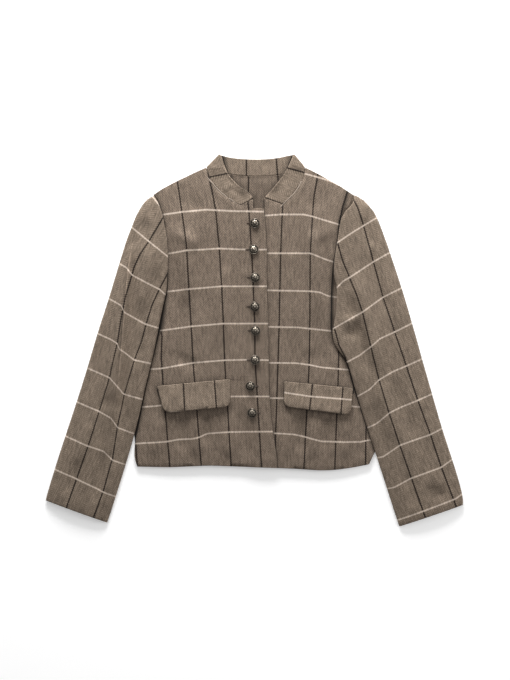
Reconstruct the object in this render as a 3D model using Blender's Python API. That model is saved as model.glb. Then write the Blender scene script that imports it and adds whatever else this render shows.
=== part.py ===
"""Cropped herringbone jacket laid flat, face up, its sleeves beside the body.

Tables are in millimetres, seen from above: +X to the viewer's right, +Y towards the collar,
+Z up from the surface it lies on. A finished piece is scaled to metres. Pieces are named for
the wearer's side, so front_right lies on the viewer's left and laps over front_left.
"""
from collections import namedtuple
from math import cos, exp, hypot, pi, radians, sin

import bmesh
import bpy
from mathutils import Matrix, Vector

MM = 0.001

# Cloth and making
CLOTH = 2.5                 # wool with its fusing and lining, panels and collar
SLEEVE_WALL = 2.8
FLAP_CLOTH = 2.4
SEAM_GAP = 0.4              # between two panels that a seam joins
LAYER_GAP = 0.3             # between two layers that lie on each other
PANEL_CELL = 21.0           # grid that lets a panel follow its height
BACK_CELL = 55.0

# How the layers lie
FRONT_RISE = 3.3            # a front lifts off the back by this, away from its seams
RISE_REACH = 55.0
LAP_LIFT = CLOTH + 0.35     # the upper front steps over the lower one
LAP_RAMP = 28.0
SLEEVE_LOFT = 3.3           # air between a sleeve's two layers
SLEEVE_EDGE_AIR = 0.4
SLEEVE_RINGS = 22

# Buttons
BUTTON_RADIUS = 9.0
BUTTON_SHANK_RADIUS = 2.2
BUTTON_SHANK_HEIGHT = 2.2
BUTTON_SEAT = 0.6
BUTTON_SIDES = 16

Point = namedtuple("Point", "x y")
Section = namedtuple("Section", "outer_x outer_y inner_x inner_y")
Strip = namedtuple("Strip", "seam_x seam_y top_x top_y")
Fold = namedtuple("Fold", "x1 y1 x2 y2 half_width height")
Crease = namedtuple("Crease", "across_top across_end along_top along_end half_width height")
Button = namedtuple("Button", "x y tilt_x tilt_y")

# Outlines of the body
SHOULDER_RIGHT = [
    Point(-92.3, 318.6), Point(-113.0, 309.5), Point(-139.7, 296.6), Point(-162.8, 284.9),
    Point(-182.0, 273.8),
]
SHOULDER_LEFT = [
    Point(92.9, 318.6), Point(115.3, 308.0), Point(137.8, 294.6), Point(156.3, 284.9),
    Point(173.8, 272.8),
]
ARMHOLE_RIGHT = [
    Point(-188.5, 268.3), Point(-180.5, 255.0), Point(-174.5, 240.5), Point(-170.3, 223.5),
    Point(-166.6, 205.0), Point(-163.7, 187.5), Point(-162.3, 169.0), Point(-161.6, 152.0),
    Point(-162.3, 130.0), Point(-163.6, 108.0), Point(-165.0, 87.3),
]
ARMHOLE_LEFT = [
    Point(180.8, 268.5), Point(182.5, 258.0), Point(175.0, 247.5), Point(165.5, 238.0),
    Point(158.5, 224.5), Point(154.8, 207.0), Point(151.8, 186.0), Point(148.6, 168.0),
    Point(145.9, 148.0), Point(144.9, 130.0), Point(145.3, 114.4),
]
SIDE_RIGHT = [
    Point(-164.8, 74.0), Point(-166.0, 50.0), Point(-170.0, 24.0), Point(-177.0, -4.0),
    Point(-187.5, -34.0), Point(-201.0, -88.0), Point(-213.0, -145.0), Point(-222.0, -180.0),
    Point(-224.5, -217.4),
]
SIDE_LEFT = [
    Point(142.0, 97.0), Point(140.5, 60.0), Point(139.8, 22.0), Point(139.8, 3.0),
    Point(143.0, -12.0), Point(152.0, -23.0), Point(166.0, -43.0), Point(179.0, -87.0),
    Point(197.0, -146.0), Point(208.5, -180.0), Point(218.5, -211.5),
]
HEM_RIGHT = [
    Point(-218.5, -234.0), Point(-160.0, -235.2), Point(-84.0, -231.8), Point(11.0, -235.5),
]
HEM_LEFT = [
    Point(210.0, -229.8), Point(179.6, -235.8), Point(146.5, -240.2), Point(119.3, -241.0),
    Point(69.4, -237.6),
]
FRONT_EDGE_RIGHT = [
    Point(-4.8, 259.6), Point(-4.8, 242.4), Point(14.6, 242.4), Point(18.5, 205.0),
    Point(20.5, 166.5), Point(20.3, 99.9), Point(23.1, 27.8), Point(23.7, -37.0),
    Point(24.9, -103.6), Point(29.3, -149.9), Point(39.6, -226.0), Point(39.0, -236.4),
]
FRONT_EDGE_LEFT = [
    Point(13.5, 261.8), Point(13.5, 240.6), Point(-14.0, 240.2), Point(-12.5, 100.0),
    Point(-10.0, -40.0), Point(-4.0, -150.0), Point(6.0, -235.2),
]

# The collar is one strip: its end on the right front, the back neck, its end on the left
# front. A row is the strip's seam edge and its free top edge.
COLLAR_END_RIGHT = [
    Strip(-27.0, 249.2, -7.6, 259.6), Strip(-33.5, 251.8, -5.4, 265.2),
    Strip(-44.0, 258.0, -11.0, 272.0), Strip(-54.8, 265.9, -22.0, 279.2),
    Strip(-66.0, 276.2, -33.5, 287.4), Strip(-76.0, 287.4, -45.0, 299.6),
    Strip(-81.3, 295.2, -53.5, 310.0), Strip(-85.5, 303.5, -59.3, 320.0),
    Strip(-89.0, 312.0, -63.6, 332.0),
]
FOLD_RIGHT = Strip(-91.5, 320.2, -67.2, 345.0)
COLLAR_BACK = [
    Strip(-79.0, 314.0, -59.0, 341.2), Strip(-62.0, 309.6, -48.0, 338.2),
    Strip(-40.0, 306.0, -31.0, 336.2), Strip(-15.0, 303.8, -12.0, 334.9),
    Strip(8.0, 303.3, 8.0, 334.7), Strip(30.0, 304.2, 27.0, 335.8),
    Strip(50.0, 307.2, 44.0, 337.9), Strip(68.0, 311.2, 56.0, 340.6),
    Strip(81.0, 315.0, 65.0, 342.8),
]
FOLD_LEFT = Strip(92.4, 320.2, 71.8, 345.0)
COLLAR_END_LEFT = [
    Strip(91.6, 312.0, 67.5, 336.0), Strip(89.3, 301.8, 62.0, 325.0),
    Strip(84.6, 292.6, 55.5, 312.5), Strip(78.1, 283.2, 47.0, 299.5),
    Strip(70.6, 272.8, 37.4, 286.8), Strip(62.4, 263.0, 27.5, 275.5),
    Strip(54.8, 255.9, 19.2, 267.4), Strip(48.8, 251.6, 16.6, 262.9),
]
TURN_RADIUS = 1.75          # of the cloth's middle, where the collar folds back on itself
TURN_STEPS = 6
COLLAR_COLUMNS = 5

# Sleeves: a row is a section, its point on the outer fold and on the inner fold
SLEEVE_RIGHT = [
    Section(-188.5, 268.3, -165.0, 87.3), Section(-204.8, 254.9, -166.8, 80.0),
    Section(-220.9, 227.7, -169.0, 70.5), Section(-237.5, 184.0, -172.0, 57.0),
    Section(-251.4, 139.3, -176.0, 38.0), Section(-270.3, 77.0, -182.2, 4.0),
    Section(-291.0, 13.0, -191.0, -37.0), Section(-310.2, -52.4, -204.0, -89.0),
    Section(-330.2, -116.0, -216.5, -147.0), Section(-350.4, -177.4, -233.0, -208.0),
    Section(-370.4, -238.7, -253.5, -275.0), Section(-388.0, -297.2, -273.8, -338.6),
]
SLEEVE_LEFT = [
    Section(180.8, 268.5, 145.3, 114.4), Section(194.1, 262.0, 147.8, 106.5),
    Section(212.9, 244.9, 149.9, 96.6), Section(224.2, 226.1, 150.2, 84.0),
    Section(235.5, 196.0, 149.5, 68.0), Section(247.0, 163.9, 148.4, 50.0),
    Section(258.0, 130.0, 145.6, 33.0), Section(269.5, 95.8, 142.0, 19.0),
    Section(279.0, 64.0, 142.2, 4.0), Section(288.4, 31.6, 146.8, -10.5),
    Section(298.0, -2.0, 158.0, -26.0), Section(307.3, -36.1, 169.8, -42.0),
    Section(316.5, -68.0, 176.5, -65.0), Section(325.8, -100.5, 184.5, -93.0),
    Section(344.3, -164.8, 202.5, -152.0), Section(363.0, -221.8, 222.5, -212.0),
    Section(381.5, -281.0, 247.0, -288.0), Section(384.0, -305.5, 265.5, -345.8),
]
ARMHOLE_FADE = 5.0          # sections over which the armhole's bend straightens out
ACROSS = (0.0, 0.012, 0.04, 0.1, 0.2, 0.3, 0.4, 0.5, 0.6, 0.7, 0.8, 0.9, 0.96, 0.988, 1.0)
EDGE_ROUND = {0: 0.0, 1: 0.72, 2: 1.0}
EDGE_INSET = {0: 0.0215, 1: 0.0145, 2: 0.007}   # of the inner skin, as a share of the width

# Largest folds, as ridges (height above 0) and troughs (below 0)
BODY_FOLDS = [
    Fold(128.0, 205.0, 136.0, 30.0, 20.0, 1.6),
    Fold(108.0, 190.0, 112.0, 60.0, 16.0, -1.0),
    Fold(-128.0, 200.0, -136.0, 70.0, 18.0, 1.2),
    Fold(-112.0, -148.0, -118.0, -215.0, 16.0, -1.1),
    Fold(96.0, -150.0, 101.0, -222.0, 15.0, -1.0),
    Fold(-60.0, -150.0, -56.0, -225.0, 18.0, 0.9),
    Fold(150.0, -155.0, 160.0, -225.0, 18.0, 0.9),
]
SLEEVE_CREASES_RIGHT = [
    Crease(0.12, 0.42, 0.20, 0.82, 0.09, -1.4),
    Crease(0.34, 0.60, 0.16, 0.74, 0.10, 0.9),
    Crease(0.70, 0.66, 0.60, 0.95, 0.09, -0.8),
]
SLEEVE_CREASES_LEFT = [
    Crease(0.58, 0.62, 0.22, 0.80, 0.10, 1.0),
    Crease(0.78, 0.76, 0.30, 0.72, 0.08, -1.2),
    Crease(0.30, 0.24, 0.70, 0.94, 0.08, -0.9),
]

# Pocket flaps: corners as top inner, top outer, bottom outer, bottom inner
FLAP_RIGHT = [Point(-48.1, -72.9), Point(-181.5, -85.6), Point(-168.8, -134.3), Point(-46.1, -122.6)]
FLAP_LEFT = [Point(54.2, -77.0), Point(179.6, -89.6), Point(175.6, -138.4), Point(52.2, -122.4)]
FLAP_CORNER = 13.0
FLAP_CORNER_STEPS = 5
FLAP_EDGE_LIFT = 1.6        # its loose lower edge stands off the front
FLAP_DROP = 48.0

BUTTONS = [
    Button(-0.9, 215.7, 2.0, -2.0), Button(-3.5, 166.7, -3.0, 2.0), Button(-0.9, 115.4, 2.0, 3.0),
    Button(-0.9, 61.6, 3.0, -2.0), Button(0.0, 17.0, 0.0, 0.0), Button(-0.9, -37.2, -2.0, 2.0),
    Button(-8.9, -85.3, 3.0, -6.0), Button(-5.7, -134.9, 2.0, -5.0),
]

WOOL = (0.245, 0.190, 0.150)
WOOL_DARK = (0.200, 0.155, 0.122)
PEWTER = (0.330, 0.310, 0.280)


def clear_scene():
    for thing in list(bpy.data.objects):
        bpy.data.objects.remove(thing, do_unlink=True)


def material(name, colour, roughness, metallic):
    made = bpy.data.materials.new(name)
    made.use_nodes = True
    shader = made.node_tree.nodes["Principled BSDF"]
    shader.inputs["Base Color"].default_value = (*colour, 1.0)
    shader.inputs["Roughness"].default_value = roughness
    shader.inputs["Metallic"].default_value = metallic
    return made


def finish(name, bm, look, place=None):
    """Scale a shape from millimetres, put it in place and make it an object."""
    bmesh.ops.recalc_face_normals(bm, faces=bm.faces[:])
    bmesh.ops.scale(bm, verts=bm.verts[:], vec=(MM, MM, MM))
    mesh = bpy.data.meshes.new(name)
    bm.to_mesh(mesh)
    bm.free()
    mesh.materials.append(look)
    made = bpy.data.objects.new(name, mesh)
    bpy.context.scene.collection.objects.link(made)
    if place is not None:
        made.matrix_world = place
    return made


def smooth_step(value):
    value = min(1.0, max(0.0, value))
    return value * value * (3.0 - 2.0 * value)


def shifted(points, distance):
    """A line of points moved to the left of its own direction."""
    moved = []
    last = len(points) - 1
    for index, point in enumerate(points):
        before = points[max(0, index - 1)]
        after = points[min(last, index + 1)]
        run_x = after.x - before.x
        run_y = after.y - before.y
        length = hypot(run_x, run_y)
        moved.append(Point(point.x - run_y / length * distance, point.y + run_x / length * distance))
    return moved


def distance_to_run(x, y, a, b):
    run_x = b.x - a.x
    run_y = b.y - a.y
    along = ((x - a.x) * run_x + (y - a.y) * run_y) / (run_x * run_x + run_y * run_y)
    along = min(1.0, max(0.0, along))
    return hypot(x - a.x - along * run_x, y - a.y - along * run_y), along


def distance_to_line(x, y, line):
    return min(distance_to_run(x, y, a, b)[0] for a, b in zip(line, line[1:]))


def value_at(y, line):
    """The x of a line that runs down the page, at a given y."""
    for upper, lower in zip(line, line[1:]):
        if lower.y <= y <= upper.y:
            part = (upper.y - y) / (upper.y - lower.y)
            return upper.x + part * (lower.x - upper.x)
    return line[0].x if y > line[0].y else line[-1].x


def fold_height(x, y):
    total = 0.0
    for fold in BODY_FOLDS:
        away, along = distance_to_run(x, y, Point(fold.x1, fold.y1), Point(fold.x2, fold.y2))
        taper = sin(pi * (0.12 + 0.76 * along))
        total += fold.height * taper * exp(-((away / fold.half_width) ** 2))
    return total


def front_underside(x, y):
    """Height of the underside of a front, before the lap: low where it is sewn to the back."""
    side = SIDE_RIGHT if x < 0.0 else SIDE_LEFT
    shoulder = SHOULDER_RIGHT if x < 0.0 else SHOULDER_LEFT
    to_side = distance_to_line(x, y, side)
    to_shoulder = distance_to_line(x, y, shoulder)
    risen = 1.0 - exp(-((min(to_side, to_shoulder) / RISE_REACH) ** 1.4))
    return CLOTH + LAYER_GAP + risen * max(0.2, FRONT_RISE + fold_height(x, y))


def upper_underside(x, y):
    """The same for the right front, which steps up over the edge of the left one."""
    edge = value_at(y, FRONT_EDGE_LEFT[2:])
    lap = smooth_step((x - edge + LAP_RAMP + 4.0) / LAP_RAMP)
    return front_underside(x, y) + lap * LAP_LIFT


def cut_into_cells(bm, outline, cell):
    for axis in (0, 1):
        values = [point[axis] for point in outline]
        normal = (1.0, 0.0, 0.0) if axis == 0 else (0.0, 1.0, 0.0)
        count = int((max(values) - min(values)) / cell)
        for step in range(1, count + 1):
            at = min(values) + (step - 0.37) * cell
            if at >= max(values) - 2.0:
                continue
            middle = (at, 0.0, 0.0) if axis == 0 else (0.0, at, 0.0)
            everything = bm.verts[:] + bm.edges[:] + bm.faces[:]
            bmesh.ops.bisect_plane(bm, geom=everything, dist=0.05, plane_co=middle, plane_no=normal)


def cloth_panel(name, outline, underside, thickness, cell, look):
    """A flat-cut panel: its outline, cut into cells, lifted to its height, given its cloth."""
    bm = bmesh.new()
    bm.faces.new([bm.verts.new((point.x, point.y, 0.0)) for point in outline])
    cut_into_cells(bm, outline, cell)
    bmesh.ops.remove_doubles(bm, verts=bm.verts[:], dist=0.12)
    bmesh.ops.triangulate(bm, faces=bm.faces[:])
    for vert in bm.verts:
        vert.co.z = underside(vert.co.x, vert.co.y)
    grown = bmesh.ops.extrude_face_region(bm, geom=bm.faces[:])
    upper = [item for item in grown["geom"] if isinstance(item, bmesh.types.BMVert)]
    bmesh.ops.translate(bm, verts=upper, vec=(0.0, 0.0, thickness))
    return finish(name, bm, look)


def seam_line(rows):
    return [Point(row.seam_x, row.seam_y) for row in rows]


def back_panel(look):
    neck = [FOLD_RIGHT] + COLLAR_BACK + [FOLD_LEFT]
    neck_line = shifted(seam_line(neck), -SEAM_GAP)[1:-1]
    outline = list(SHOULDER_RIGHT)
    outline += shifted(ARMHOLE_RIGHT, SEAM_GAP / 2.0)
    outline += SIDE_RIGHT + HEM_RIGHT + [Point(39.0, -236.4)]
    outline += list(reversed(HEM_LEFT)) + list(reversed(SIDE_LEFT))
    outline += list(reversed(shifted(ARMHOLE_LEFT, -SEAM_GAP / 2.0)))
    outline += list(reversed(SHOULDER_LEFT)) + list(reversed(neck_line))
    return cloth_panel("back", outline, lambda x, y: 0.0, CLOTH, BACK_CELL, look)


def front_right_panel(look):
    end = COLLAR_END_RIGHT[0]
    neck_line = shifted(seam_line(COLLAR_END_RIGHT), SEAM_GAP)
    collar_end = shifted([Point(end.seam_x, end.seam_y), Point(end.top_x, end.top_y)], -SEAM_GAP)
    outline = list(SHOULDER_RIGHT)
    outline += shifted(ARMHOLE_RIGHT, SEAM_GAP / 2.0)
    outline += SIDE_RIGHT + HEM_RIGHT
    outline += list(reversed(FRONT_EDGE_RIGHT))
    outline += [collar_end[1], Point(collar_end[0].x - SEAM_GAP, collar_end[0].y - 0.2)]
    outline += neck_line[1:]
    return cloth_panel("front_right", outline, upper_underside, CLOTH, PANEL_CELL, look)


def front_left_panel(look):
    end = COLLAR_END_LEFT[-1]
    neck_line = shifted(seam_line(COLLAR_END_LEFT), SEAM_GAP)
    collar_end = shifted([Point(end.seam_x, end.seam_y), Point(end.top_x, end.top_y)], SEAM_GAP)
    outline = neck_line[:-1]
    outline += [Point(collar_end[0].x + SEAM_GAP, collar_end[0].y - 0.2), collar_end[1]]
    outline += FRONT_EDGE_LEFT
    outline += list(reversed(HEM_LEFT)) + list(reversed(SIDE_LEFT))
    outline += list(reversed(shifted(ARMHOLE_LEFT, -SEAM_GAP / 2.0)))
    outline += list(reversed(SHOULDER_LEFT))
    return cloth_panel("front_left", outline, front_underside, CLOTH, PANEL_CELL, look)


def curve_through(rows, place):
    """A smooth value between table rows, at a place counted in rows."""
    first = min(int(place), len(rows) - 2)
    part = place - first
    before = rows[max(0, first - 1)]
    start = rows[first]
    end = rows[first + 1]
    after = rows[min(len(rows) - 1, first + 2)]
    values = []
    for a, b, c, d in zip(before, start, end, after):
        bend = (c - a) * part + (2 * a - 5 * b + 4 * c - d) * part ** 2
        bend += (3 * b - a - 3 * c + d) * part ** 3
        values.append(b + 0.5 * bend)
    return Section(*values)


def on_line(line, share):
    place = share * (len(line) - 1)
    first = min(int(place), len(line) - 2)
    part = place - first
    a = line[first]
    b = line[first + 1]
    return Point(a.x + part * (b.x - a.x), a.y + part * (b.y - a.y))


def crease_height(creases, across, along):
    total = 0.0
    for crease in creases:
        part = (along - crease.along_top) / (crease.along_end - crease.along_top)
        if not 0.0 < part < 1.0:
            continue
        middle = crease.across_top + part * (crease.across_end - crease.across_top)
        away = (across - middle) / crease.half_width
        total += crease.height * sin(pi * part) * exp(-away * away)
    return total


def sleeve_point(rows, armhole, across, place):
    """A point of the sleeve in plan: straight sections that bend to the armhole at the top."""
    row = curve_through(rows, place)
    x = row.outer_x + across * (row.inner_x - row.outer_x)
    y = row.outer_y + across * (row.inner_y - row.outer_y)
    left = max(0.0, 1.0 - place / ARMHOLE_FADE) ** 1.5
    seam = on_line(armhole, across)
    chord_x = armhole[0].x + across * (armhole[-1].x - armhole[0].x)
    chord_y = armhole[0].y + across * (armhole[-1].y - armhole[0].y)
    return Point(x + left * (seam.x - chord_x), y + left * (seam.y - chord_y))


def sleeve_ring(rows, armhole, creases, place, inside):
    """One closed ring of the tube, as points over the top and back underneath."""
    along = place / (len(rows) - 1)
    last = len(ACROSS) - 1
    top = []
    bottom = []
    for index, across in enumerate(ACROSS):
        rounding = EDGE_ROUND.get(min(index, last - index), 1.0)
        spread = 1.0 - abs(2.0 * across - 1.0) ** 3
        air = SLEEVE_EDGE_AIR + spread * (SLEEVE_LOFT + crease_height(creases, across, along))
        half = SLEEVE_WALL + air / 2.0
        middle = half
        if inside:
            inset = EDGE_INSET.get(min(index, last - index), 0.0)
            across += inset if across < 0.5 else -inset
            half = air / 2.0
        point = sleeve_point(rows, armhole, across, place)
        top.append(Vector((point.x, point.y, middle + half * rounding)))
        bottom.append(Vector((point.x, point.y, middle - half * rounding)))
    return top + list(reversed(bottom[1:-1]))


def join_rings(bm, first, second):
    count = len(first)
    for index in range(count):
        after = (index + 1) % count
        bm.faces.new((first[index], first[after], second[after], second[index]))


def sleeve(name, rows, armhole, seam_shift, creases, look):
    """A flattened tube, open at the armhole and the cuff."""
    seam = shifted(armhole, seam_shift)
    move_x = seam[0].x - armhole[0].x
    rows = [Section(row.outer_x + move_x, row.outer_y, row.inner_x + move_x, row.inner_y) for row in rows]
    bm = bmesh.new()
    outer = []
    inner = []
    for ring in range(SLEEVE_RINGS + 1):
        place = ring / SLEEVE_RINGS * (len(rows) - 1)
        for rings, inside in ((outer, False), (inner, True)):
            points = sleeve_ring(rows, seam, creases, place, inside)
            rings.append([bm.verts.new(point) for point in points])
    for rings in (outer, inner):
        for first, second in zip(rings, rings[1:]):
            join_rings(bm, first, second)
    join_rings(bm, outer[0], inner[0])
    join_rings(bm, outer[-1], inner[-1])
    return finish(name, bm, look)


def collar_underside(x, y, upper):
    height = upper_underside(x, y) if upper else front_underside(x, y)
    return max(height, CLOTH + 2.0 * TURN_RADIUS - CLOTH)


def collar_turn(row, outward, first_angle):
    """The fold at a side neck: the strip goes half round a line just inside the outline."""
    rows = []
    inset = TURN_RADIUS + CLOTH / 2.0
    for step in range(TURN_STEPS + 1):
        angle = first_angle * (1.0 - 2.0 * step / TURN_STEPS)
        push = TURN_RADIUS * cos(angle) - inset
        shift = outward * push
        height = CLOTH / 2.0 + TURN_RADIUS * (1.0 + sin(angle))
        face = outward * cos(angle) + Vector((0.0, 0.0, sin(angle)))
        seam = Vector((row.seam_x, row.seam_y, height)) + shift
        top = Vector((row.top_x, row.top_y, height)) + shift
        rows.append((seam, top, face))
    return rows


def collar_flat(rows, front, upper):
    """Rows of the strip that lie flat: face up on a front, face down behind the neck."""
    made = []
    face = Vector((0.0, 0.0, 1.0 if front else -1.0))
    for row in rows:
        points = []
        for x, y in ((row.seam_x, row.seam_y), (row.top_x, row.top_y)):
            base = collar_underside(x, y, upper) if front else 0.0
            points.append(Vector((x, y, base + CLOTH / 2.0)))
        made.append((points[0], points[1], face))
    return made


def collar(look):
    """The stand, one strip of cloth in a closed skin with its four edges."""
    out_right = Vector((FOLD_RIGHT.seam_y - FOLD_RIGHT.top_y, FOLD_RIGHT.top_x - FOLD_RIGHT.seam_x, 0.0))
    out_left = Vector((FOLD_LEFT.top_y - FOLD_LEFT.seam_y, FOLD_LEFT.seam_x - FOLD_LEFT.top_x, 0.0))
    rows = collar_flat(COLLAR_END_RIGHT, True, True)
    rows += collar_turn(FOLD_RIGHT, out_right.normalized(), radians(90.0))
    rows += collar_flat(COLLAR_BACK, False, False)
    rows += collar_turn(FOLD_LEFT, out_left.normalized(), radians(-90.0))
    rows += collar_flat(COLLAR_END_LEFT, True, False)
    bm = bmesh.new()
    rings = []
    for seam, top, face in rows:
        ring = []
        for side in (1.0, -1.0):
            line = []
            for column in range(COLLAR_COLUMNS):
                share = column / (COLLAR_COLUMNS - 1)
                middle = seam.lerp(top, share)
                line.append(bm.verts.new(middle + face * (side * CLOTH / 2.0)))
            ring += line if side > 0.0 else list(reversed(line))
        rings.append(ring)
    for first, second in zip(rings, rings[1:]):
        join_rings(bm, first, second)
    for ring in (rings[0], rings[-1]):
        for column in range(COLLAR_COLUMNS - 1):
            mirror = 2 * COLLAR_COLUMNS - 1 - column
            bm.faces.new((ring[column], ring[column + 1], ring[mirror - 1], ring[mirror]))
    return finish("collar", bm, look)


def rounded_corner(before, corner, after):
    """Points of a round corner between two straight edges."""
    middle = Vector((corner.x, corner.y))
    start = middle + (Vector((before.x, before.y)) - middle).normalized() * FLAP_CORNER
    end = middle + (Vector((after.x, after.y)) - middle).normalized() * FLAP_CORNER
    points = []
    for step in range(FLAP_CORNER_STEPS + 1):
        part = step / FLAP_CORNER_STEPS
        point = start * (1.0 - part) ** 2 + middle * 2.0 * part * (1.0 - part) + end * part ** 2
        points.append(Point(point.x, point.y))
    return points


def flap(name, corners, underside, look):
    """A pocket flap on its front: flat at the seam, its lower edge a little raised."""
    top_inner, top_outer, low_outer, low_inner = corners
    outline = [top_inner, top_outer]
    outline += rounded_corner(top_outer, low_outer, low_inner)
    outline += rounded_corner(low_outer, low_inner, top_inner)

    def flap_underside(x, y):
        down, _ = distance_to_run(x, y, top_inner, top_outer)
        raised = FLAP_EDGE_LIFT * smooth_step(down / FLAP_DROP)
        return underside(x, y) + CLOTH + LAYER_GAP + 0.1 + raised

    return cloth_panel(name, outline, flap_underside, FLAP_CLOTH, PANEL_CELL, look)


def button(name, row, look):
    """A domed button with a rim and a shank, turned about its own axis."""
    shank = BUTTON_SHANK_HEIGHT
    profile = [
        (0.0, 0.0), (BUTTON_SHANK_RADIUS, 0.0), (BUTTON_SHANK_RADIUS, shank),
        (BUTTON_RADIUS * 0.86, shank + 0.2), (BUTTON_RADIUS, shank + 0.9),
        (BUTTON_RADIUS * 0.94, shank + 1.7), (BUTTON_RADIUS * 0.78, shank + 1.6),
        (BUTTON_RADIUS * 0.60, shank + 3.0), (BUTTON_RADIUS * 0.32, shank + 4.0),
        (0.0, shank + 4.3),
    ]
    bm = bmesh.new()
    verts = [bm.verts.new((radius, 0.0, height)) for radius, height in profile]
    edges = [bm.edges.new(pair) for pair in zip(verts, verts[1:])]
    bmesh.ops.spin(bm, geom=verts + edges, cent=(0.0, 0.0, 0.0), axis=(0.0, 0.0, 1.0),
                   angle=2.0 * pi, steps=BUTTON_SIDES, use_merge=True)
    bmesh.ops.remove_doubles(bm, verts=bm.verts[:], dist=0.001)
    seat = upper_underside(row.x, row.y) + CLOTH + BUTTON_SEAT
    tilt = Matrix.Rotation(radians(row.tilt_x), 4, "X") @ Matrix.Rotation(radians(row.tilt_y), 4, "Y")
    place = Matrix.Translation(Vector((row.x, row.y, seat)) * MM) @ tilt
    made = finish(name, bm, look, place)
    made.data.shade_smooth()
    return made


def centre_on_origin(pieces):
    """Put the origin under the middle of the whole garment's box, on the surface."""
    bpy.context.view_layer.update()
    corners = [piece.matrix_world @ Vector(corner) for piece in pieces for corner in piece.bound_box]
    low = [min(corner[axis] for corner in corners) for axis in range(3)]
    high = [max(corner[axis] for corner in corners) for axis in range(3)]
    move = Vector((-(low[0] + high[0]) / 2.0, -(low[1] + high[1]) / 2.0, -low[2]))
    for piece in pieces:
        piece.matrix_world = Matrix.Translation(move) @ piece.matrix_world


def build():
    clear_scene()
    pieces = [
        back_panel(material("wool_back", WOOL_DARK, 0.92, 0.0)),
        front_left_panel(material("wool_front_left", WOOL, 0.92, 0.0)),
        front_right_panel(material("wool_front_right", WOOL, 0.92, 0.0)),
        collar(material("wool_collar", WOOL, 0.92, 0.0)),
        sleeve("sleeve_right", SLEEVE_RIGHT, ARMHOLE_RIGHT, -SEAM_GAP / 2.0, SLEEVE_CREASES_RIGHT,
               material("wool_sleeve_right", WOOL, 0.92, 0.0)),
        sleeve("sleeve_left", SLEEVE_LEFT, ARMHOLE_LEFT, SEAM_GAP / 2.0, SLEEVE_CREASES_LEFT,
               material("wool_sleeve_left", WOOL, 0.92, 0.0)),
        flap("flap_right", FLAP_RIGHT, upper_underside, material("wool_flap_right", WOOL, 0.92, 0.0)),
        flap("flap_left", FLAP_LEFT, front_underside, material("wool_flap_left", WOOL, 0.92, 0.0)),
    ]
    for number, row in enumerate(BUTTONS, start=1):
        look = material(f"pewter_{number}", PEWTER, 0.45, 1.0)
        pieces.append(button(f"button_{number}", row, look))
    centre_on_origin(pieces)


build()
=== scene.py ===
"""The finish of a herringbone jacket laid flat: cloth shells, weave, stitches and buttons.

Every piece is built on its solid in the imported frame, in metres. Places that were measured on
the photograph are written in its pixels, as (across, down), and turned to metres by place().
"""
import math

import bmesh
import bpy
import numpy as np
from mathutils import Matrix, Vector
from mathutils.bvhtree import BVHTree


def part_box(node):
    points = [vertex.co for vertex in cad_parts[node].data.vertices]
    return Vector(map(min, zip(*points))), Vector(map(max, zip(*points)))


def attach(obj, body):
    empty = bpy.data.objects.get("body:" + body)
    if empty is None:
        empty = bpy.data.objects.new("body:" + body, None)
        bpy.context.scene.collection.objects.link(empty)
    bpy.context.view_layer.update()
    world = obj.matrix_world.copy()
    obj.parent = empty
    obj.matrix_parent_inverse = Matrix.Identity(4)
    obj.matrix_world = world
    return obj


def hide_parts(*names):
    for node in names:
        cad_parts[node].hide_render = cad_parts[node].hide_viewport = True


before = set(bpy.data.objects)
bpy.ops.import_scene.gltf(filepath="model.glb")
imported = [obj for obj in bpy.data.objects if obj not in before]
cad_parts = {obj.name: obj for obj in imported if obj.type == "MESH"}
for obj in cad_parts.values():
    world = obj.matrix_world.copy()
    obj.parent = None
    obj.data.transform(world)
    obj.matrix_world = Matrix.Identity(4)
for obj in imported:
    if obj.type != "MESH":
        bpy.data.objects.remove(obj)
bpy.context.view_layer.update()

MM = 0.001

# The photograph's scale, and a point that both it and the frame have: the fifth button
PIXEL = 1.85 * MM
BUTTON_5_PHOTO = (255.5, 330.8)
low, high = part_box("button_5")
BUTTON_5 = (low + high) / 2.0
PHOTO_MIDDLE = (255.0, 340.0)
PHOTO_SIZE = (510, 680)

# Check and weave, real sizes
DARK_SPACING = 60.0 * MM        # between the dark warp lines
CREAM_SPACING = 68.0 * MM       # between the cream weft lines
DARK_WIDTH = 2.8 * MM
CREAM_WIDTH = 2.5 * MM
DARK_STRENGTH = 0.96
CREAM_STRENGTH = 0.90
LINE_FADE = (0.5, 0.7)          # a line fades from this far inside its side to this far outside, mm
COLUMN = 9.0 * MM               # one herringbone column
TWILL = 4.5 * MM                # real ribs are 1.5 mm; drawn coarser so that they show

# The making of a panel's shell
CELL = 5.2 * MM
BACK_CELL = 9.0 * MM
FLAP_CELL = 4.0 * MM
RIM_STEPS = ((0.6 * MM, 0.70 * MM), (1.9 * MM, 0.20 * MM))   # how far in, how much lower
RIM_DROP = 1.6 * MM
RIM_LEAST = 0.3 * MM            # what is left of the cloth's edge where it lies lowest
PANEL_CLOTH = 2.5 * MM
BACK_CLOTH = 2.3 * MM
FLAP_CLOTH = 2.2 * MM
FRONT_LEAST = 0.9 * MM          # a front's upper side goes no lower
OUTLINE_STEP = 5.0 * MM
ROUNDING = 6                    # rounds that take the slight bends out of an outline
FLAP_ROUNDING = 1               # a flap's corners keep their shape
SMOOTHING = 10                  # rounds that soften the solid's steps
SEAM_CLOSE = 0.6 * MM           # cloth fills the gap that the solids keep at a seam
WELD = 0.02 * MM                # points of a solid's loose triangles closer than this are one
CUT_SNAP = 0.05 * MM            # a cut goes through points closer than this
CUT_SHIFT = 0.4                 # keeps cuts off the outline's own points, as a share of a cell
UPWARD = 0.5                    # least upward part of an upper face's normal
STRAIGHT = math.radians(0.8)    # an outline's lesser bends are none
CORNER = math.radians(24.0)     # an outline's sharper bends are true corners
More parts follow.
